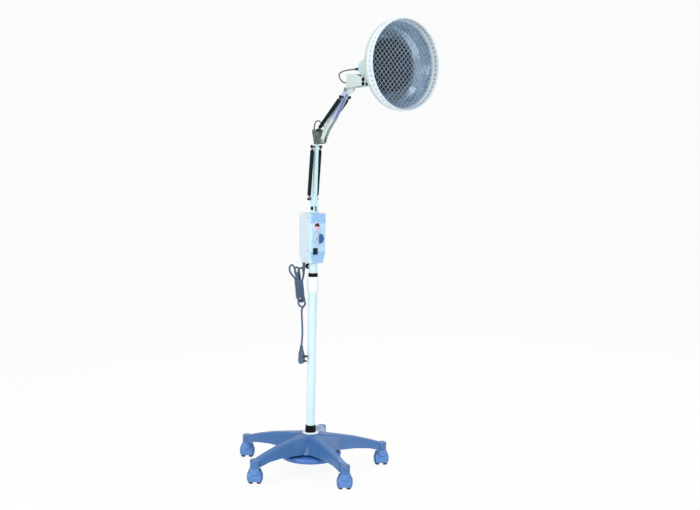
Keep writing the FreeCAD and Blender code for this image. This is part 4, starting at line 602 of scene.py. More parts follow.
def rounded_profile(profile: Profile, radius: float, steps: int = 4) -> list[tuple[float, float]]:
    """Rounds the inner corners of a profile.

    Args:
        profile: Radius and height pairs.
        radius: Length taken from each side of a corner.
        steps: Points on each rounded corner.

    Returns:
        The rounded profile.
    """
    points = [Vector((r, h)) for r, h in profile]
    rounded = [points[0]]
    for before, corner, after in zip(points, points[1:], points[2:]):
        cut = min(radius, (corner - before).length * 0.45, (after - corner).length * 0.45)
        start = corner + (before - corner).normalized() * cut
        end = corner + (after - corner).normalized() * cut
        for step in range(steps + 1):
            t = step / steps
            rounded.append(start * (1 - t) ** 2 + corner * (2 * t * (1 - t)) + end * t**2)
    rounded.append(points[-1])
    return [(max(p.x, 0.0), p.y) for p in rounded]


def add_block(mesh: bmesh.types.BMesh, size: Vector, turn: Matrix) -> None:
    """Adds a block centred on a matrix's place.

    Args:
        mesh: The mesh to add to.
        size: Its three edge lengths.
        turn: Where it goes and how it is turned.
    """
    scale = Matrix.Diagonal((size.x, size.y, size.z, 1.0))
    bmesh.ops.create_cube(mesh, size=1.0, matrix=turn @ scale)


def soften(piece: bpy.types.Object, width_mm: float, segments: int = 3, cad: bool = False) -> None:
    """Rounds a piece's edges with modifiers.

    Args:
        piece: The piece.
        width_mm: Size of the rounding.
        segments: Faces across it.
        cad: Whether the mesh comes from CAD with split corners that are joined first.
    """
    if cad:
        weld = piece.modifiers.new("join_corners", "WELD")
        weld.merge_threshold = 2e-6
    bevel = piece.modifiers.new("round_edges", "BEVEL")
    bevel.width = width_mm * MM
    bevel.segments = segments
    bevel.limit_method = "ANGLE"
    bevel.angle_limit = math.radians(38.0)
    bevel.harden_normals = False
    weights = piece.modifiers.new("flat_faces", "WEIGHTED_NORMAL")
    weights.keep_sharp = True


class Dresser:
    """Gives CAD nodes their materials and carries what each builder shares."""

    def __init__(self, frame: dict, shop: MaterialShop) -> None:
        """Keeps the frame and the shop at hand.

        Args:
            shop: Where materials come from.
        """
        self.frame = frame
        self.shop = shop
        self.joints = {joint["name"]: joint for joint in frame["joints"]}

    def pivot(self, joint: str) -> Vector:
        """Where a joint's axis passes.

        Args:
            joint: The joint's name.

        Returns:
            A point on the axis.
        """
        return Vector(self.joints[joint]["pos_m"])

    def node(self, name: str, finish: Finish | bpy.types.Material, edge_mm: float = 0.0,
             segments: int = 3) -> bpy.types.Object:
        """Dresses one CAD node.

        Args:
            name: The node's name.
            finish: Its finish or a ready material.
            edge_mm: How much its edges are rounded; zero leaves them.
            segments: Faces across the rounding.

        Returns:
            The node's object.
        """
        piece = self.frame["nodes"][name]
        material = self.shop.get(finish) if isinstance(finish, Finish) else finish
        piece.data.materials.clear()
        piece.data.materials.append(material)
        if edge_mm > 0.0:
            soften(piece, edge_mm, segments, cad=True)
        LOG.info("dressed %s", name)
        return piece

    def piece(self, made: bpy.types.Object, body: str, slot: str,
              replaces: Iterable[str] = ()) -> bpy.types.Object:
        """Attaches a new piece to the body that carries it and hides the CAD nodes that it stands for.

        Args:
            made: The new piece.
            body: Name of the CAD body.
            slot: Name of the record's material slot; not used.
            replaces: CAD nodes that it stands for.

        Returns:
            The same piece.
        """
        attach(made, body)
        if replaces:
            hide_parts(*replaces)
        LOG.info("built %s", made.name)
        return made

    def lathe(self, name: str, finish: Finish, turns: Sequence[tuple[Profile, Vector, Vector]], body: str,
              slot: str, replaces: Iterable[str] = (), sides: int = 48) -> bpy.types.Object:
        """Builds one piece from turned forms.

        Args:
            name: The piece's name.
            finish: Its finish.
            turns: A profile, place and axis for each form.
            body: The body that carries it.
            slot: Its material slot.
            replaces: CAD nodes that it stands for.
            sides: Segments round each axis.

        Returns:
            The new piece.
        """
        mesh = bmesh.new()
        for profile, place, axis in turns:
            add_lathe(mesh, profile, place, axis, sides)
        return self.piece(as_object(name, mesh, self.shop.get(finish)), body, slot, replaces)


def spline_curve(name: str, points: Sequence[Vector], radius: float, material: bpy.types.Material,
                 resolution: int = 8) -> bpy.types.Object:
    """A round flexible piece along one open smooth spline.

    Args:
        name: The object's name.
        points: Control points in metres.
        radius: Its radius.
        material: Its material.
        resolution: Steps between control points.

    Returns:
        The curve object.
    """
    data = bpy.data.curves.new(name, "CURVE")
    data.dimensions = "3D"
    data.bevel_depth = radius
    data.bevel_resolution = 4
    data.resolution_u = resolution
    data.use_fill_caps = True
    spline = data.splines.new("NURBS")
    spline.points.add(len(points) - 1)
    for target, point in zip(spline.points, points):
        target.co = (*point, 1.0)
    spline.order_u = 3
    spline.use_endpoint_u = True
    data.materials.append(material)
    made = bpy.data.objects.new(name, data)
    bpy.context.scene.collection.objects.link(made)
    return made


def curve_to_mesh(curve: bpy.types.Object) -> bpy.types.Object:
    """Replaces a curve object with the mesh of its round surface.

    Args:
        curve: The curve object, which is removed.

    Returns:
        A mesh object of the same name.
    """
    bpy.context.view_layer.update()
    graph = bpy.context.evaluated_depsgraph_get()
    data = bpy.data.meshes.new_from_object(curve.evaluated_get(graph))
    name = curve.name
    material = curve.data.materials[0]
    bpy.data.objects.remove(curve)
    data.materials.clear()
    data.materials.append(material)
    for polygon in data.polygons:
        polygon.use_smooth = True
    made = bpy.data.objects.new(name, data)
    bpy.context.scene.collection.objects.link(made)
    return made


# ---------------------------------------------------------------- stand
@dataclass(frozen=True)
class WheelSizes:
    """Castor wheel sizes in millimetres."""

    radius: float = 25.0
    inner: float = 7.5
    tread: float = 20.0
    cap: float = 27.5
    hub: float = 12.0
    step: float = 19.5


class Stand:
    """Star base, weight, pole and castors."""

    def __init__(self, dresser: Dresser, wheel: WheelSizes = WheelSizes()) -> None:
        """Takes the tools and the wheels' sizes.

        Args:
            dresser: Places and dresses pieces.
            wheel: Sizes of a castor wheel.
        """
        self.dresser = dresser
        self.wheel = wheel

    def build(self) -> None:
        """Dresses the fixed pieces and builds every castor's wheels."""
        d = self.dresser
        d.node("star_base", BASE_BLUE, 1.6)
        d.node("ballast_disc", WEIGHT_BLUE, 1.2)
        d.node("ballast_bolt", ZINC, 0.4)
        d.node("hub_trim_ring", WHITE_MOULDING, 0.8)
        d.node("pole_bush", BLACK_RUBBER, 0.8)
        d.node("outer_tube", WHITE_PAINT, 0.3, 2)
        d.node("guide_liner", NYLON, 0.3, 2)
        d.node("clamp_sleeve", WHITE_MOULDING, 0.8)
        d.node("lock_ring", BLACK_PLASTIC, 0.4)
        for index in range(1, 6):
            self._castor(index)

    def _castor(self, index: int) -> None:
        """Dresses one castor's hood and builds its tyres and discs.

        Args:
            index: Number of the castor.
        """
        d = self.dresser
        w = self.wheel
        d.node(f"castor_{index}_hood", CASTOR_BLUE, 0.9)
        roll = d.joints[f"castor_{index}_roll"]
        axle = Vector(roll["axis"])
        centre = Vector(roll["pos_m"])
        tyre = [(w.step, w.inner), (w.radius - 0.6, w.inner), (w.radius, w.inner + 1.2),
                (w.radius, w.tread - 3.0), (w.radius - 1.0, w.tread - 0.6), (w.radius - 3.4, w.tread + 1.5),
                (w.step, w.tread + 2.9), (w.step, w.inner)]
        disc = [(0.0, w.inner), (w.step, w.inner), (w.step, w.tread + 2.7), (w.step - 1.2, w.tread + 3.6),
                (w.hub + 2.6, w.cap - 1.6), (w.hub + 1.6, w.cap - 2.2), (w.hub, w.cap - 0.9),
                (w.hub - 1.0, w.cap), (5.0, w.cap - 0.2), (4.2, w.cap - 1.4), (0.0, w.cap - 1.2)]
        for name, profile, finish, slot in (("tyres", tyre, TYRE, "tread_navy"),
                                            ("discs", disc, CASTOR_BLUE, "castor_blue")):
            scaled = rounded_profile([(r * MM, h * MM) for r, h in profile], 0.7 * MM, 3)
            turns = [(scaled, centre, axle), (scaled, centre, -axle)]
            stands_for = (f"castor_{index}_wheels",) if name == "discs" else ()
            d.lathe(f"castor_{index}_{name}", finish, turns, f"wheels_{index}", slot, stands_for)


# ---------------------------------------------------------------- control box
def lens_material(shop: MaterialShop, middle: float) -> bpy.types.Material:
    """The indicator's moulding: dark purple above, pale pink where its lower half catches light.

    Args:
        shop: Where the lens finish comes from.
        middle: Height of its middle in metres.

    Returns:
        The two-coloured material.
    """
    # painted highlight: the lens turns pale pink over its lower half
    return painted_light_gradient(shop, LENS, "EFC6DC", (0, 0, -1), -middle - 1.5 * MM, -middle + 2.5 * MM)


class ControlBox:
    """Housing on the mast with its dial, lamp, switch and clamp knob."""

    def __init__(self, dresser: Dresser) -> None:
        """Takes the tools.

        Args:
            dresser: Places and dresses pieces.
        """
        self.dresser = dresser

    def build(self) -> None:
        """Dresses the housing and adds its screws, dial and small fittings."""
        d = self.dresser
        low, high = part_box("box_front_cover")
        d.node("inner_tube", CHROME, 0.2, 2)
        d.node("mast_guide_plug", NYLON, 0.4, 2)
        d.node("tube_socket", WHITE_PAINT, 0.8)
        d.node("box_rear_shell", BOX_SIDE, 1.4)
        d.node("box_front_cover", panel_material(d.shop, low.z, high.z, BOX_FACE), 1.2)
        d.node("spine_bracket", ZINC, 0.3, 2)
        d.node("timer_body", NYLON, 0.5, 2)
        d.node("terminal_block", NYLON, 0.4, 2)
        lens_z = sum(corner.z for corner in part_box("indicator_lens")) / 2
        d.node("indicator_lens", lens_material(d.shop, lens_z), 0.4)
        d.node("rocker_frame", SWITCH_BLACK, 0.5)
        d.node("rocker", SWITCH_BLACK, 0.5)
        d.node("clamp_knob", BLACK_PLASTIC, 0.4)
        d.node("timer_knob", KNOB_PALE, 0.6)
        d.node("plug_blades", PINS, 0.25)
        self._dial()
        self._lamp_ring()
        self._rocker_marks()
        self._knurl()
        self._cover_screws()

    def _dial(self) -> None:
        """The knob's blue half, its pointer line and the minute marks on its skirt."""
        d = self.dresser
        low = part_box("timer_knob")[0]
        centre = d.pivot("timer_turn")
        grip_r = 0.0195
        face_x = centre.x + 0.0085
        mesh = bmesh.new()
        outline = [(0.5 * MM, -grip_r + 2.6 * MM)]
        for step in range(25):
            angle = math.radians(-84.0 + 168.0 * step / 24)
            outline.append(((grip_r - 1.6 * MM) * math.cos(angle), (grip_r - 1.6 * MM) * math.sin(angle)))
        outline.append((0.5 * MM, grip_r - 2.6 * MM))
        rings = []
        for rise, inset in ((-0.2 * MM, 0.0), (0.5 * MM, 0.0), (0.75 * MM, 0.3 * MM)):
            x = face_x + rise
            rings.append([mesh.verts.new((x, centre.y + y - math.copysign(inset, y - 8 * MM),
                                          centre.z + z * (1.0 - inset / grip_r))) for y, z in outline])
        count = len(outline)
        for lower, upper in zip(rings, rings[1:]):
            for index in range(count):
                after = (index + 1) % count
                mesh.faces.new((lower[index], lower[after], upper[after], upper[index]))
        mesh.faces.new(rings[-1])
        mesh.faces.new(rings[0][::-1])
        grip = Matrix.Translation((face_x + 1.95 * MM, centre.y, centre.z))
        add_block(mesh, Vector((3.9, 8.6, 34.0)) * MM, grip)
        inlay = as_object("timer_knob_inlay", mesh, d.shop.get(KNOB_BLUE))
        soften(inlay, 0.3, 2)
        d.piece(inlay, "timer_knob", "knob_pale")
        marks = bmesh.new()
        add_block(marks, Vector((0.6, 3.0, 10.0)) * MM,
                  Matrix.Translation((face_x + 0.1 * MM, centre.y - 13.5 * MM, centre.z)))
        skirt_x = low.x + (centre.x + 3.0 * MM - low.x)
        for index in range(20):
            angle = math.radians(-150.0 + 300.0 * index / 19)
            reach = 21.9 * MM
            turn = Matrix.Rotation(angle, 4, "X")
            length = 2.6 if index % 5 == 0 else 1.6
            place = Matrix.Translation((skirt_x + 0.05 * MM, centre.y, centre.z)) @ turn
            add_block(marks, Vector((0.3, 0.55, length)) * MM, place @ Matrix.Translation((0, 0, reach)))
        made = as_object("timer_dial_marks", marks, d.shop.get(DIAL_MARK))
        d.piece(made, "timer_knob", "knob_pale")

    def _lamp_ring(self) -> None:
        """The rounded pale ring that frames the indicator."""
        d = self.dresser
        low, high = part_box("indicator_lens")
        centre = Vector((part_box("box_front_cover")[0].x, (low.y + high.y) / 2, (low.z + high.z) / 2))
        centre.x = BOX_FACE
        ahead = Vector((1, 0, 0))
        ring = [(11.9, 0.2), (11.9, 2.6), (12.5, 3.0), (13.8, 2.3), (14.4, 0.9), (14.4, 0.1)]
        dome = [(6.9, 0.2), (6.9, 4.3), (8.6, 4.1), (10.4, 3.4), (11.6, 2.4), (12.0, 0.4)]
        for name, finish, outline in (("indicator_bezel", BEZEL, ring), ("indicator_dome", LENS, dome)):
            scaled = rounded_profile([(r * MM, h * MM) for r, h in outline], 0.4 * MM, 3)
            made = d.lathe(name, finish, [(scaled, centre, ahead)], "mast", "box_front")
            if finish is LENS:
                made.data.materials[0] = lens_material(d.shop, centre.z)

    def _rocker_marks(self) -> None:
        """A bar on one half of the rocker."""
        d = self.dresser
        pivot = d.pivot("rocker_tip")
        tilt = Matrix.Rotation(math.radians(6.0), 4, "Y")
        place = Matrix.Translation(pivot) @ tilt
        mesh = bmesh.new()
        face = Matrix.Translation((6.5 * MM, 0, 4.2 * MM)) @ Matrix.Rotation(math.radians(-10.0), 4, "Y")
        add_block(mesh, Vector((0.5, 0.7, 2.8)) * MM, place @ face)
        made = as_object("rocker_bar_mark", mesh, d.shop.get(DIAL_MARK))
        d.piece(made, "rocker", "knob_pale")

    def _knurl(self) -> None:
        """Lobes round the clamp knob."""
        d = self.dresser
        low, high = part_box("clamp_knob")
        centre = Vector((low.x, (low.y + high.y) / 2, (low.z + high.z) / 2))
        mesh = bmesh.new()
        lobes = 14
        for index in range(lobes):
            angle = 2.0 * math.pi * index / lobes
            offset = Vector((0, math.cos(angle), math.sin(angle))) * 9.35 * MM
            profile = [(0.0, 1.6), (0.9, 1.8), (1.15, 2.6), (1.15, 10.4), (0.9, 11.2), (0.0, 11.4)]
            add_lathe(mesh, [(r * MM, h * MM) for r, h in profile], centre + offset, Vector((1, 0, 0)), 12)
        made = as_object("clamp_knob_lobes", mesh, d.shop.get(BLACK_PLASTIC))
        d.piece(made, "clamp_knob", "black_plastic")

    def _cover_screws(self) -> None:
        """Two countersunk screws on each side hold the front cover."""
        d = self.dresser
        low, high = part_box("box_rear_shell")
        places = []
        for side, y in ((-1.0, low.y), (1.0, high.y)):
            for z in (low.z + 46.0 * MM, high.z - 14.0 * MM):
                places.append((Vector((high.x - 6.0 * MM, y, z)), Vector((0, side, 0))))
        add_screws(d, "cover_screws", places, 2.6, "mast", ZINC)


def add_screws(dresser: Dresser, name: str, places: Sequence[tuple[Vector, Vector]], radius_mm: float,
               body: str, finish: Finish) -> bpy.types.Object:
    """Pan-head screws with a cross recess, as one piece.

    Args:
        dresser: The shared dresser.
        name: The piece's name.
        places: A seat and an outward direction for each screw.
        radius_mm: Head radius.
        body: The body that carries them.
        finish: Their finish.

    Returns:
        The new piece.
    """
    mesh = bmesh.new()
    r = radius_mm
    head = [(r, 0.0), (r, 0.35), (0.9 * r, 0.8), (0.6 * r, 1.15), (0.42 * r, 1.2), (0.40 * r, 0.6),
            (0.0, 0.5)]
    for seat, axis in places:
        add_lathe(mesh, [(a * MM, h * MM) for a, h in head], seat - axis * 0.15 * MM, axis, 24)
        turn = Matrix.Translation(seat + axis * 0.42 * MM) @ frame_along(axis)
        for angle in (35.0, 125.0):
            spin = Matrix.Rotation(math.radians(angle), 4, "Z")
            add_block(mesh, Vector((0.16 * r, 0.78 * r, 0.5)) * MM, turn @ spin)
    made = as_object(name, mesh, dresser.shop.get(finish))
    return dresser.piece(made, body, "bright_steel")


# ---------------------------------------------------------------- mains lead
@dataclass(frozen=True)
class LeadSizes:
    """The mains lead's route, hank and plug, in millimetres."""

    diameter: float = 7.0
    azimuth_deg: float = 52.3
    front: float = 4.0
    gland: tuple[float, float, float] = (-27.0, -20.7, 720.5)
    strand_ring: float = 6.6
    wrap_ring: float = 13.4
    wrap_top: float = 688.0
    wrap_foot: float = 623.0
    wrap_steps: int = 106
    plug_at: tuple[float, float] = (-37.0, 8.5)
    plug_top: float = 454.0
    plug_turn_deg: float = 40.0


@dataclass(frozen=True)
class LeadLoop:
    """One long turn of the hank: strand slots in degrees, low fold and top fold in millimetres."""

    down: float
    up: float
    fold: tuple[float, float, float, float]
    top: tuple[tuple[float, float, float], ...]


LEAD_LOOPS = (
    LeadLoop(0.0, 180.0, (592.5, 13.0, -37.9, 8.0),
             ((-64.0, 4.0, 696.0), (-76.0, 5.0, 707.0), (-84.0, 6.0, 722.0), (-83.5, 8.0, 736.0),
              (-76.0, 9.5, 744.0), (-68.0, 10.0, 737.0), (-63.5, 10.0, 721.0), (-57.0, 9.0, 705.0))),
    LeadLoop(60.0, 120.0, (609.0, 12.5, -40.0, 1.0),
             ((-58.0, 8.0, 700.0), (-64.0, 6.5, 714.0), (-65.5, 4.0, 728.0), (-58.5, 1.0, 735.5),
              (-51.0, -2.0, 728.0), (-48.5, -3.5, 713.0), (-46.5, -4.0, 698.0))),
    LeadLoop(-60.0, -120.0, (614.0, 11.5, -44.0, -6.0),
             ((-54.0, -3.0, 698.0), (-53.5, -2.0, 713.0), (-50.5, 1.0, 727.0), (-42.5, 4.5, 734.0),
              (-35.5, 5.0, 726.0), (-34.0, 1.0, 711.0), (-35.0, -4.0, 697.5))),
)
LEAD_LEAN = ((589.0, -38.0), (606.0, -40.0), (625.0, -44.0), (657.0, -47.0), (690.0, -51.0), (716.0, -58.0))
LEAD_TAIL = ((-31.0, -11.5, 614.0), (-26.0, -11.5, 606.0), (-28.0, -9.0, 597.0), (-33.0, -5.0, 591.0),
             (-37.8, -1.5, 584.0), (-38.3, 2.0, 571.0), (-37.0, 4.5, 550.0), (-34.6, 5.0, 512.0),
             (-34.8, 7.0, 478.0), (-37.0, 8.5, 454.0))


class MainsLead:
    """The lead: ribbed gland, one smooth cord with its wound hank, and the plug."""

    def __init__(self, dresser: Dresser, sizes: LeadSizes = LeadSizes()) -> None:
        """Takes the tools and the lead's sizes.

        Args:
            dresser: Places and dresses pieces.
            sizes: Sizes of lead, hank, gland and plug.
        """
        self.dresser = dresser
        self.sizes = sizes

    def place(self, u: float, v: float, z: float) -> Vector:
        """A point of the hanging plane.

        Args:
            u: Across the plane, away from the pole where negative.
            v: In front of the plane.
            z: Height.

        Returns:
            The point in metres.
        """
        angle = math.radians(self.sizes.azimuth_deg)
        x = u * math.cos(angle) + v * math.sin(angle)
        y = u * math.sin(angle) - v * math.cos(angle)
        return Vector((x, y, z)) * MM

    def around(self, z: float, radius: float, angle_deg: float) -> Vector:
        """A point beside the hank's middle, which hangs away from the pole at its top.

        Args:
            z: Height in millimetres.
            radius: Distance from the middle.
            angle_deg: Direction from it; zero lies towards the pole, ninety in front.

        Returns:
            The point in metres.
        """
        middle = LEAD_LEAN[-1][1]
        for (z0, u0), (z1, u1) in zip(LEAD_LEAN, LEAD_LEAN[1:]):
            if z <= z1:
                middle = u0 + (u1 - u0) * (z - z0) / (z1 - z0)
                break
        angle = math.radians(angle_deg)
        return self.place(middle + radius * math.cos(angle), self.sizes.front + radius * math.sin(angle), z)

    def route(self) -> list[Vector]:
        """Control points from the gland through every turn of the hank to the plug.

        Returns:
            The points in metres.
        """
        s = self.sizes
        start = Vector(s.gland) * MM
        points = [start, start + Vector((0.4, -0.3, -17.0)) * MM, self.place(-38.0, -1.5, 688.8)]
        for loop in LEAD_LOOPS:
            points += self._loop(loop)
        for step in range(s.wrap_steps + 1):
            z = s.wrap_top + (s.wrap_foot - s.wrap_top) * step / s.wrap_steps
            points.append(self.around(z, s.wrap_ring, 30.0 * step))
        points += [self.place(*point) for point in LEAD_TAIL]
        return points

    def _loop(self, loop: LeadLoop) -> list[Vector]:
        """One long turn: down one slot, round the low fold, up the other slot and round the top.

        Args:
            loop: The turn's slots and folds.

        Returns:
            The turn's control points in metres.
        """
        ring = self.sizes.strand_ring
        waist = (674.0, 654.0, 635.0)
        low, half, middle, v = loop.fold
        found = [self.around(z, ring, loop.down) for z in waist]
        for angle in (0.0, -45.0, -90.0, -135.0, -180.0):
            a = math.radians(angle)
            found.append(self.place(middle + half * math.cos(a), v, low + half + half * math.sin(a)))
        found += [self.around(z, ring, loop.up) for z in reversed(waist)]
        found += [self.place(*point) for point in loop.top]
        return found

    def build(self) -> None:
        d = self.dresser
        s = self.sizes
        self._gland()
        plug = self._plug()
        points = self.route()
        cord = spline_curve("mains_lead", points, s.diameter / 2 * MM, d.shop.get(CORD_GREY), 6)
        d.piece(cord, "mast", "cord_grey", ("mains_cord", "mains_cord_hank"))

    def _gland(self) -> None:
        """The ribbed, tapered strain relief under the box."""
        x, y, z = self.sizes.gland
        top = 30.0
        profile = [(3.55, 0.0), (4.6, 0.1)]
        ribs = 7
        for index in range(ribs):
            base = 1.2 + index * 2.9
            radius = 4.8 + 1.1 * index / ribs
            profile += [(radius, base), (radius + 0.25, base + 1.4), (radius - 0.9, base + 1.6),
                        (radius - 0.85, base + 2.7)]
        profile += [(6.0, 22.5), (6.0, top - 2.0), (7.2, top - 1.9), (7.5, top - 1.5), (7.5, top),
                    (0.0, top)]
        scaled = [(r * MM, h * MM) for r, h in profile]
        turned = [(scaled, Vector((x, y, z)) * MM, Vector((0, 0, 1)))]
        self.dresser.lathe("cord_gland_ribbed", CORD_GREY, turned, "mast", "cord_grey", ("cord_gland",), 32)

    def _plug(self) -> bpy.types.Object:
        """The right-angle plug: ribbed neck, rounded body with finger grooves.

        Returns:
            The plug's body piece.
        """
        s = self.sizes
        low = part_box("plug_body")[0]
        centre = self.place(*s.plug_at, 0.0)
        neck_foot = s.plug_top - 20.0
        turn = math.radians(s.azimuth_deg - s.plug_turn_deg)
        along = Vector((math.cos(turn), math.sin(turn), 0))
        across = Vector((-along.y, along.x, 0))
        mesh = bmesh.new()
        profile = [(3.55, 20.0), (4.2, 19.8)]
        for index in range(5):
            base = 18.8 - index * 3.5
            radius = 5.4 + 0.5 * index
            profile += [(radius, base), (radius + 0.15, base - 1.9), (radius - 0.8, base - 2.1),
                        (radius - 0.75, base - 3.3)]
        profile += [(7.8, 0.8), (8.0, -1.2)]
        neck = Vector((centre.x, centre.y, neck_foot * MM))
        add_lathe(mesh, [(r * MM, h * MM) for r, h in profile], neck, Vector((0, 0, 1)), 32)
        bottom = low.z / MM
        height = neck_foot - bottom
        rings = []
        stations = ((0.0, 0.66), (0.03, 0.86), (0.10, 0.97), (0.18, 1.0), (0.3, 1.0), (0.42, 0.99),
                    (0.46, 0.94), (0.50, 0.99), (0.54, 0.94), (0.58, 0.98), (0.62, 0.93), (0.66, 0.97),
                    (0.8, 0.92), (0.92, 0.86), (1.0, 0.74))
        sides = 32
        for share, grow in stations:
            cut = max(0.0, 1.0 - share / 0.17)
            ring = []
            for index in range(sides):
                angle = 2.0 * math.pi * index / sides
                c, n = math.cos(angle), math.sin(angle)
                squared = (abs(c) ** 4 + abs(n) ** 4) ** -0.25
                reach = (13.0 if c > 0.0 and share < 0.7 else 10.5) * grow - (8.0 if c > 0.0 else 4.5) * cut
                point = centre + along * (max(reach, 1.5) * c * squared * MM)
                point += across * (8.5 * grow * n * squared * MM)
                point.z = (bottom + height * share) * MM
                ring.append(mesh.verts.new(point))
            rings.append(ring)
        for lower, upper in zip(rings, rings[1:]):
            for index in range(sides):
                after = (index + 1) % sides
                mesh.faces.new((lower[index], lower[after], upper[after], upper[index]))
        mesh.faces.new(rings[0][::-1])
        mesh.faces.new(rings[-1])
        plug = as_object("plug_moulding", mesh, self.dresser.shop.get(CORD_GREY))
        return self.dresser.piece(plug, "mast", "cord_grey", ("plug_body",))


# ---------------------------------------------------------------- arms
@dataclass(frozen=True)
class SpringSizes:
    """Balance spring sizes in millimetres."""

    spread: float = 17.0
    sleeve_r: float = 6.8
    coil_r: float = 3.6
    wire_r: float = 0.75
    eye_r: float = 3.9
    eye_thickness: float = 2.6
    neck: float = 13.0


class Arms:
    """Turret, both arms with their springs and cables, and the wrist."""

    def __init__(self, dresser: Dresser, spring: SpringSizes = SpringSizes()) -> None:
        """Takes the tools and the springs' sizes.

        Args:
            dresser: Places and dresses pieces.
            spring: Sizes of a balance spring.
        """
        self.dresser = dresser
        self.spring = spring

    def build(self) -> None:
        """Dresses the arms and builds springs, cables and bolts."""
        d = self.dresser
        d.node("turret_fork", ARM_PALE, 0.6)
        d.node("lower_pivot_bolt", DARK_NUT, 0.4)
        d.node("lower_arm_channel", ARM_PALE, 0.5)
        d.node("elbow_casting", CASTING, 1.0)
        d.node("upper_arm_bolts", ZINC, 0.4)
        d.node("wrist_block", PALE_CASTING, 1.0)
        d.node("head_bracket", BRACKET, 0.7)
        d.node("tilt_bolts", DARK_NUT, 0.4)
        lower = d.pivot("lower_arm_tilt")
        elbow = d.pivot("elbow_tilt")
        wrist = d.pivot("wrist_tilt")
        arm_lean = math.radians(1.5)
        lower_foot = lower + Vector((-10.0, 0, 31.7)) * MM
        lower_head = lower + Vector((math.sin(arm_lean), 0, math.cos(arm_lean))) * 216.0 * MM
        along = (wrist - elbow).normalized()
        across = Vector((along.z, 0, -along.x))
        upper_foot = elbow + Vector((-9.2, 0, 36.7)) * MM
        upper_head = elbow + along * 185.0 * MM + across * 5.0 * MM
        near = along.dot(elbow)
        # painted shade: the upper arm channel turns lavender-blue along its upper part
        d.node("upper_arm_channel", painted_light_gradient(d.shop, ARM_GREEN, "B9C3E4", tuple(along), near + 84.0 * MM,
                                             near + 106.0 * MM), 0.5)
        for side, word in ((-1.0, "near"), (1.0, "far")):
            self._spring(f"lower_spring_{word}", lower_foot, lower_head, side,
                         "lower_springs")
            self._spring(f"upper_spring_{word}", upper_foot, upper_head, side,
                         "upper_springs")
        for name, pin, radius, body in (("lower_foot", lower_foot, 4.4, "turret"),
                                        ("lower_head", lower_head, 6.0, "lower_arm"),
                                        ("upper_foot", upper_foot, 5.0, "lower_arm"),
                                        ("upper_head", upper_head, 6.0, "upper_arm")):
            self._pin_heads(f"{name}_pin_heads", pin, radius, body)
        self._elbow_cable(upper_foot)
        self._head_cable()

    def _pin_heads(self, name: str, pin: Vector, radius: float, body: str) -> None:
        """The dark bushes and domed heads on both ends of a spring pin.

        Args:
            name: The piece's name.
            pin: The pin's middle.
            radius: Radius of the heads in millimetres.
            body: The body that carries the pin.
        """
        profile = [(0.0, 7.2), (3.1, 7.2), (3.1, 19.6), (radius, 19.8), (radius, 21.8),
                   (radius * 0.8, 22.9), (0.0, 23.3)]
        scaled = rounded_profile([(r * MM, h * MM) for r, h in profile], 0.4 * MM, 3)
        turns = [(scaled, pin, Vector((0, side, 0))) for side in (-1.0, 1.0)]
        self.dresser.lathe(name, PIN_HEAD, turns, body, "bright_steel", (), 28)

    def _spring(self, name: str, start: Vector, end: Vector, side: float,
                node: str) -> None:
        """A sleeved spring with coiled necks and an eye on each pin.

        Args:
            name: The piece's name.
            start: Centre of the fixed pin.
            end: Centre of the moving pin.
            side: Minus one or one, the side of the arm.
            node: CAD node that the pair stands for.
        """
        d = self.dresser
        s = self.spring
        offset = Vector((0, side * s.spread * MM, 0))
        foot = start + offset
        head = end + offset
        axis = (head - foot).normalized()
        length = (head - foot).length
        mesh = bmesh.new()
        r = s.sleeve_r * MM
        n = s.neck * MM
        sleeve = [(0.0, n), (r * 0.75, n), (r * 0.95, n + 0.5 * MM), (r, n + 1.6 * MM)]
        waves = 28
        for index in range(1, waves):
            h = n + 2.0 * MM + (length - 2 * n - 4.0 * MM) * index / waves
            sleeve.append((r * (1.0 - 0.012 * (index % 2)), h))
        sleeve += [(r, length - n - 1.6 * MM), (r * 0.95, length - n - 0.5 * MM), (r * 0.75, length - n),
                   (0.0, length - n)]
        add_lathe(mesh, sleeve, foot, axis, 32)
        body = as_object(f"{name}_sleeve", mesh, d.shop.get(SLEEVE))
        self._blended(body, node)
        for end_name, base, way in (("foot", foot, axis), ("head", head, -axis)):
            wire = self._hook(f"{name}_{end_name}_hook", base, way)
            self._blended(wire, None)

    def _hook(self, name: str, pin: Vector, way: Vector) -> bpy.types.Object:
        """A neck of close coils that runs out into an eye round a pin.

        Args:
            name: The piece's name.
            pin: Centre of the pin.
            way: Direction from the pin along the spring.

        Returns:
            The hook as a mesh object.
        """
        s = self.spring
        across = Vector((0, 1, 0))
        third = way.cross(across).normalized()
        points = []
        for step in range(11):
            angle = math.radians(180.0 - 30.0 * step)
            ring = way * (-math.cos(angle)) + third * math.sin(angle)
            shift = across * (s.eye_thickness * 0.25 * (step / 10.0 - 0.5) * MM)
            points.append(pin + ring * s.eye_r * MM + shift)
        points.append(pin + way * (s.eye_r + 1.4) * MM + third * 1.2 * MM)
        coils = 4.0
        steps = int(coils * 10)
        for step in range(steps + 1):
            angle = 2.0 * math.pi * coils * step / steps
            height = s.eye_r + 2.2 + (s.neck - s.eye_r) * step / steps
            ring = across * math.cos(angle) + third * math.sin(angle)
            points.append(pin + way * height * MM + ring * s.coil_r * MM)
        curve = spline_curve(name, points, s.wire_r * MM, self.dresser.shop.get(SPRING_WIRE), 4)
        return curve_to_mesh(curve)

    def _blended(self, piece: bpy.types.Object,
                 node: str | None) -> None:
        """Bakes a piece's place into its mesh and hides the CAD node that it stands for.

        Args:
            piece: The piece.
            node: CAD node that it stands for, if any.
        """
        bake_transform(piece)
        if node:
            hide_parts(node)
        LOG.info("built %s", piece.name)

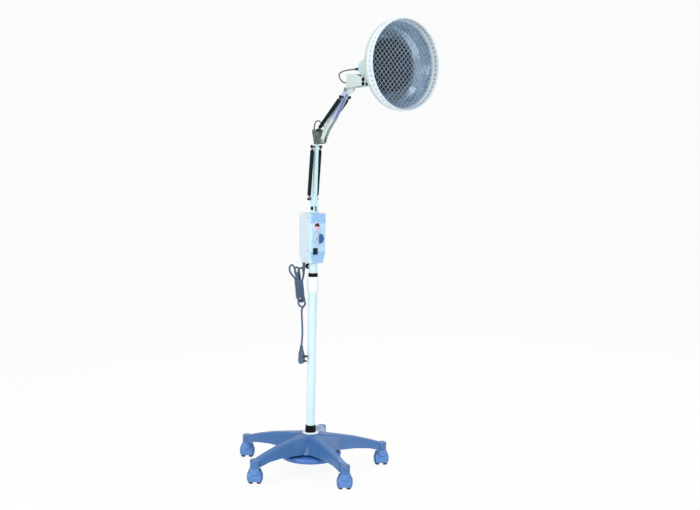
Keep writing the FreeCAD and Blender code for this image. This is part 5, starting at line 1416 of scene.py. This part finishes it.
    def _elbow_cable(self, anchor: Vector) -> None:
        """The lamp's cable where it loops over the elbow.

        Args:
            anchor: Middle of the upper springs' fixed pins.
        """
        base = anchor + Vector((0, 0, 3.0 * MM))
        route = [(-44.0, 0.0), (-44.0, 21.0), (-25.0, 33.0), (-3.0, 23.0), (19.0, 4.0), (37.0, 2.0),
                 (48.5, 15.5)]
        self._cable("elbow_cable", base, route)

    def _head_cable(self) -> None:
        """The lamp's cable from the boot behind the shade down into the bracket."""
        low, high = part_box("cable_boot")
        tip = Vector((low.x, 0, (low.z + high.z) / 2))
        bracket = (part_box("head_bracket")[0].x - tip.x) / MM
        route = [(0.0, 0.0), (-32.0, 0.0), (-66.0, -2.0), (-92.0, -11.0), (-78.0, -33.0), (-54.0, -44.0),
                 (bracket, -42.0)]
        self._cable("head_cable", tip, route)

    def _cable(self, node: str, base: Vector, route: Sequence[tuple[float, float]]) -> None:
        """A short bent cable in the arm plane.

        Args:
            node: CAD node that it stands for.
            base: Where its route is measured from.
            route: Offsets ahead and up, in millimetres.
        """
        points = [base + Vector((ahead, 0, up)) * MM for ahead, up in route]
        curve = spline_curve(f"{node}_sheath", points, 2.5 * MM, self.dresser.shop.get(CABLE_GREEN), 12)
        cable = curve_to_mesh(curve)
        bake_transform(cable)
        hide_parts(node)
        LOG.info("built %s", cable.name)


# ---------------------------------------------------------------- head
class LampHead:
    """Shade, reflector, heater, collar and guard."""

    def __init__(self, dresser: Dresser) -> None:
        """Takes the tools.

        Args:
            dresser: Places and dresses pieces.
        """
        self.dresser = dresser

    def build(self) -> None:
        """Dresses the head and adds its boot, hem and screws."""
        d = self.dresser
        d.node("rear_boss", BOSS, 1.0)
        d.node("shade_shell", SHADE, 0.5)
        d.node("reflector", REFLECTOR)
        d.node("heater_drum", ENAMEL_BLACK, 0.6)
        d.node("heater_former", CERAMIC, 0.6)
        d.node("mineral_plate", MINERAL, 0.8)
        collar_low, collar_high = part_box("collar")
        axis_z = (collar_low.z + collar_high.z) / 2
        wall_r = (collar_high.z - collar_low.z) / 2 - 0.9 * MM
        # the collar's material paints darker dashes of vent shade round its inner wall
        d.node("collar", collar_material(d.shop, collar_high.x, axis_z, wall_r), 0.7)
        d.node("guard_ring", GUARD, 0.4)
        d.node("guard_mesh", GUARD)
        self._boot(axis_z)
        self._rim_bead(collar_high.x, axis_z, wall_r + 0.9 * MM)
        self._band_screws(collar_low.x, axis_z)

    def _boot(self, axis_z: float) -> None:
        """The ribbed dark boot round the cable behind the shade.

        Args:
            axis_z: Height of the head's axis.
        """
        low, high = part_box("cable_boot")
        length = (high.x - low.x) / MM
        big = (high.z - low.z) / 2 / MM
        small = 4.2
        profile = [(2.55, 0.0), (small, 0.1)]
        ribs = 9
        for index in range(ribs):
            h = 2.0 + index * (length - 8.0) / ribs
            radius = small + (big - small) * h / length
            profile += [(radius - 0.2, h), (radius + 0.1, h + 2.2), (radius - 0.9, h + 2.6)]
        profile += [(big, length - 2.0), (big, length)]
        scaled = rounded_profile([(r * MM, h * MM) for r, h in profile], 0.5 * MM, 2)
        turned = [(scaled, Vector((low.x, 0, axis_z)), Vector((1, 0, 0)))]
        self.dresser.lathe("cable_boot_ribbed", BOOT_DARK, turned, "head", "boot_grey", ("cable_boot",), 40)

    def _rim_bead(self, rim_x: float, axis_z: float, rim_r: float) -> None:
        """The rolled bead round the collar's front edge.

        Args:
            rim_x: Where the collar ends in front.
            axis_z: Height of the head's axis.
            rim_r: The collar's outer radius.
        """
        tube_r = 2.0 * MM
        ring_r = rim_r - tube_r
        steps = 16
        profile = []
        for index in range(steps + 1):
            angle = 2.0 * math.pi * index / steps
            profile.append((ring_r + tube_r * math.cos(angle), tube_r * math.sin(angle)))
        place = Vector((rim_x - tube_r, 0, axis_z))
        turned = [(profile, place, Vector((1, 0, 0)))]
        self.dresser.lathe("collar_bead", RIM, turned, "head", "white_moulding", (), 128)

    def _band_screws(self, band_x: float, axis_z: float) -> None:
        """Six small screws hold the collar to the shade.

        Args:
            band_x: Where the collar starts.
            axis_z: Height of the head's axis.
        """
        places = []
        for index in range(6):
            angle = math.radians(30.0 + 60.0 * index)
            axis = Vector((0, math.cos(angle), math.sin(angle)))
            places.append((Vector((band_x + 2.2 * MM, 0, axis_z)) + axis * 143.3 * MM, axis))
        add_screws(self.dresser, "collar_screws", places, 1.6, "head", ZINC)


# ---------------------------------------------------------------- studio
@dataclass(frozen=True)
class CameraSetup:
    """Where the camera stands and how it looks."""

    place: tuple[float, float, float] = (2.728127, -2.108251, 1.104)
    forward: tuple[float, float, float] = (-0.764277, 0.638074, -0.093494)
    roll_deg: float = 1.15
    lens_mm: float = 50.13


class Studio:
    """Floor, soft lights and camera."""

    def __init__(self, camera: CameraSetup = CameraSetup()) -> None:
        """Takes the camera's setting.

        Args:
            camera: Where it stands and how it looks.
        """
        self.camera = camera

    def build(self) -> None:
        """Sets up world, floor, lights and camera."""
        self._world()
        self._floor()
        self._lights()
        self._camera()
        bpy.context.scene.view_settings.view_transform = "Standard"

    def _world(self) -> None:
        """A soft white sky that the camera sees a little brighter."""
        world = bpy.data.worlds.new("studio")
        bpy.context.scene.world = world
        world.use_nodes = True
        tree = world.node_tree
        tree.nodes.clear()
        glow = add_node(tree, "ShaderNodeBackground", None,
                        {"Color": (0.90, 0.95, 1.0, 1.0), "Strength": 0.5})
        seen = add_node(tree, "ShaderNodeBackground", None,
                        {"Color": (0.99, 0.99, 0.99, 1.0), "Strength": 1.0})
        path = add_node(tree, "ShaderNodeLightPath")
        mix = add_node(tree, "ShaderNodeMixShader", None,
                       {0: path.outputs["Is Camera Ray"], 1: glow.outputs[0], 2: seen.outputs[0]})
        add_node(tree, "ShaderNodeOutputWorld", None, {"Surface": mix.outputs[0]})

    def _floor(self) -> None:
        """A wide white floor that curves up behind the lamp."""
        mesh = bmesh.new()
        reach = 7.0
        back = 3.2
        steps = 12
        rise = 2.5
        away = Vector((*self.camera.forward[:2], 0)).normalized()
        side = Vector((away.y, -away.x, 0))
        line = [-away * reach, away * back]
        path = [(p, 0.0) for p in line]
        for step in range(1, steps + 1):
            angle = math.radians(90.0 * step / steps)
            path.append((away * (back + rise * math.sin(angle)), rise * (1 - math.cos(angle))))
        path.append((away * (back + rise), 6.0))
        rows = []
        for point, z in path:
            rows.append([mesh.verts.new(point + side * w + Vector((0, 0, z))) for w in (-reach, reach)])
        for lower, upper in zip(rows, rows[1:]):
            mesh.faces.new((lower[0], lower[1], upper[1], upper[0]))
        material = bpy.data.materials.new("studio_floor")
        material.use_nodes = True
        shader = material.node_tree.nodes["Principled BSDF"]
        shader.inputs["Base Color"].default_value = (0.93, 0.93, 0.93, 1.0)
        shader.inputs["Roughness"].default_value = 0.9
        shader.inputs["Specular IOR Level"].default_value = 0.1
        tree = material.node_tree
        seen = add_node(tree, "ShaderNodeEmission", None, {"Color": (1.0, 1.0, 1.0, 1.0), "Strength": 0.99})
        path = add_node(tree, "ShaderNodeLightPath")
        share = calculate(tree, "MULTIPLY", path.outputs["Is Camera Ray"], FLOOR_WHITE)
        mix = add_node(tree, "ShaderNodeMixShader", None,
                       {0: share, 1: shader.outputs[0], 2: seen.outputs[0]})
        tree.links.new(mix.outputs[0], tree.nodes["Material Output"].inputs["Surface"])
        as_object("studio_floor", mesh, material)

    def _lights(self) -> None:
        """Large soft panels round the lamp and a small one that the reflector shows."""
        aim = Vector((0.0, 0.0, 0.85))
        away = Vector(self.camera.forward)
        right = away.cross(Vector((0, 0, 1))).normalized()
        panels = (
            ("key", -away * 3.0 - right * 2.4 + Vector((0, 0, 2.6)), 2.4, 44.0),
            ("fill", -away * 2.6 + right * 2.8 + Vector((0, 0, 1.2)), 2.0, 30.0),
            ("top", -away * 0.4 + Vector((0, 0, 3.6)), 2.6, 40.0),
            ("back", away * 2.2 + right * 1.6 + Vector((0, 0, 2.6)), 2.0, 30.0),
            ("glint", -away * 2.6 - right * 1.5 + Vector((0, 0, 1.62)), 1.2, 26.0),
        )
        for name, place, size, power in panels:
            data = bpy.data.lights.new(name, "AREA")
            data.shape = "SQUARE"
            data.size = size
            data.energy = power
            lamp = bpy.data.objects.new(name, data)
            lamp.location = place
            lamp.rotation_mode = "QUATERNION"
            lamp.rotation_quaternion = (aim - place).to_track_quat("-Z", "Y")
            bpy.context.scene.collection.objects.link(lamp)

    def _camera(self) -> None:
        """The camera, turned a little about its own axis."""
        setup = self.camera
        data = bpy.data.cameras.new("camera")
        data.sensor_width = 36.0
        data.lens = setup.lens_mm
        camera = bpy.data.objects.new("camera", data)
        bpy.context.scene.collection.objects.link(camera)
        forward = Vector(setup.forward).normalized()
        level_right = forward.cross(Vector((0, 0, 1))).normalized()
        level_up = level_right.cross(forward)
        roll = math.radians(setup.roll_deg)
        right = level_right * math.cos(roll) + level_up * math.sin(roll)
        up = right.cross(forward)
        turn = Matrix((right, up, -forward)).transposed()
        camera.matrix_world = Matrix.Translation(setup.place) @ turn.to_4x4()
        bpy.context.scene.camera = camera


def main() -> None:
    """Builds the whole scene in order."""
    logging.basicConfig(level=logging.INFO, format="%(message)s")
    for leftover in list(bpy.data.objects):
        bpy.data.objects.remove(leftover)
    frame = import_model()
    dresser = Dresser(frame, MaterialShop())
    builders: list[Callable[[], None]] = [
        Studio().build,
        MainsLead(dresser).build,
        Stand(dresser).build,
        ControlBox(dresser).build,
        Arms(dresser).build,
        LampHead(dresser).build,
    ]
    for build in builders:
        build()


if __name__ == "__main__":
    main()
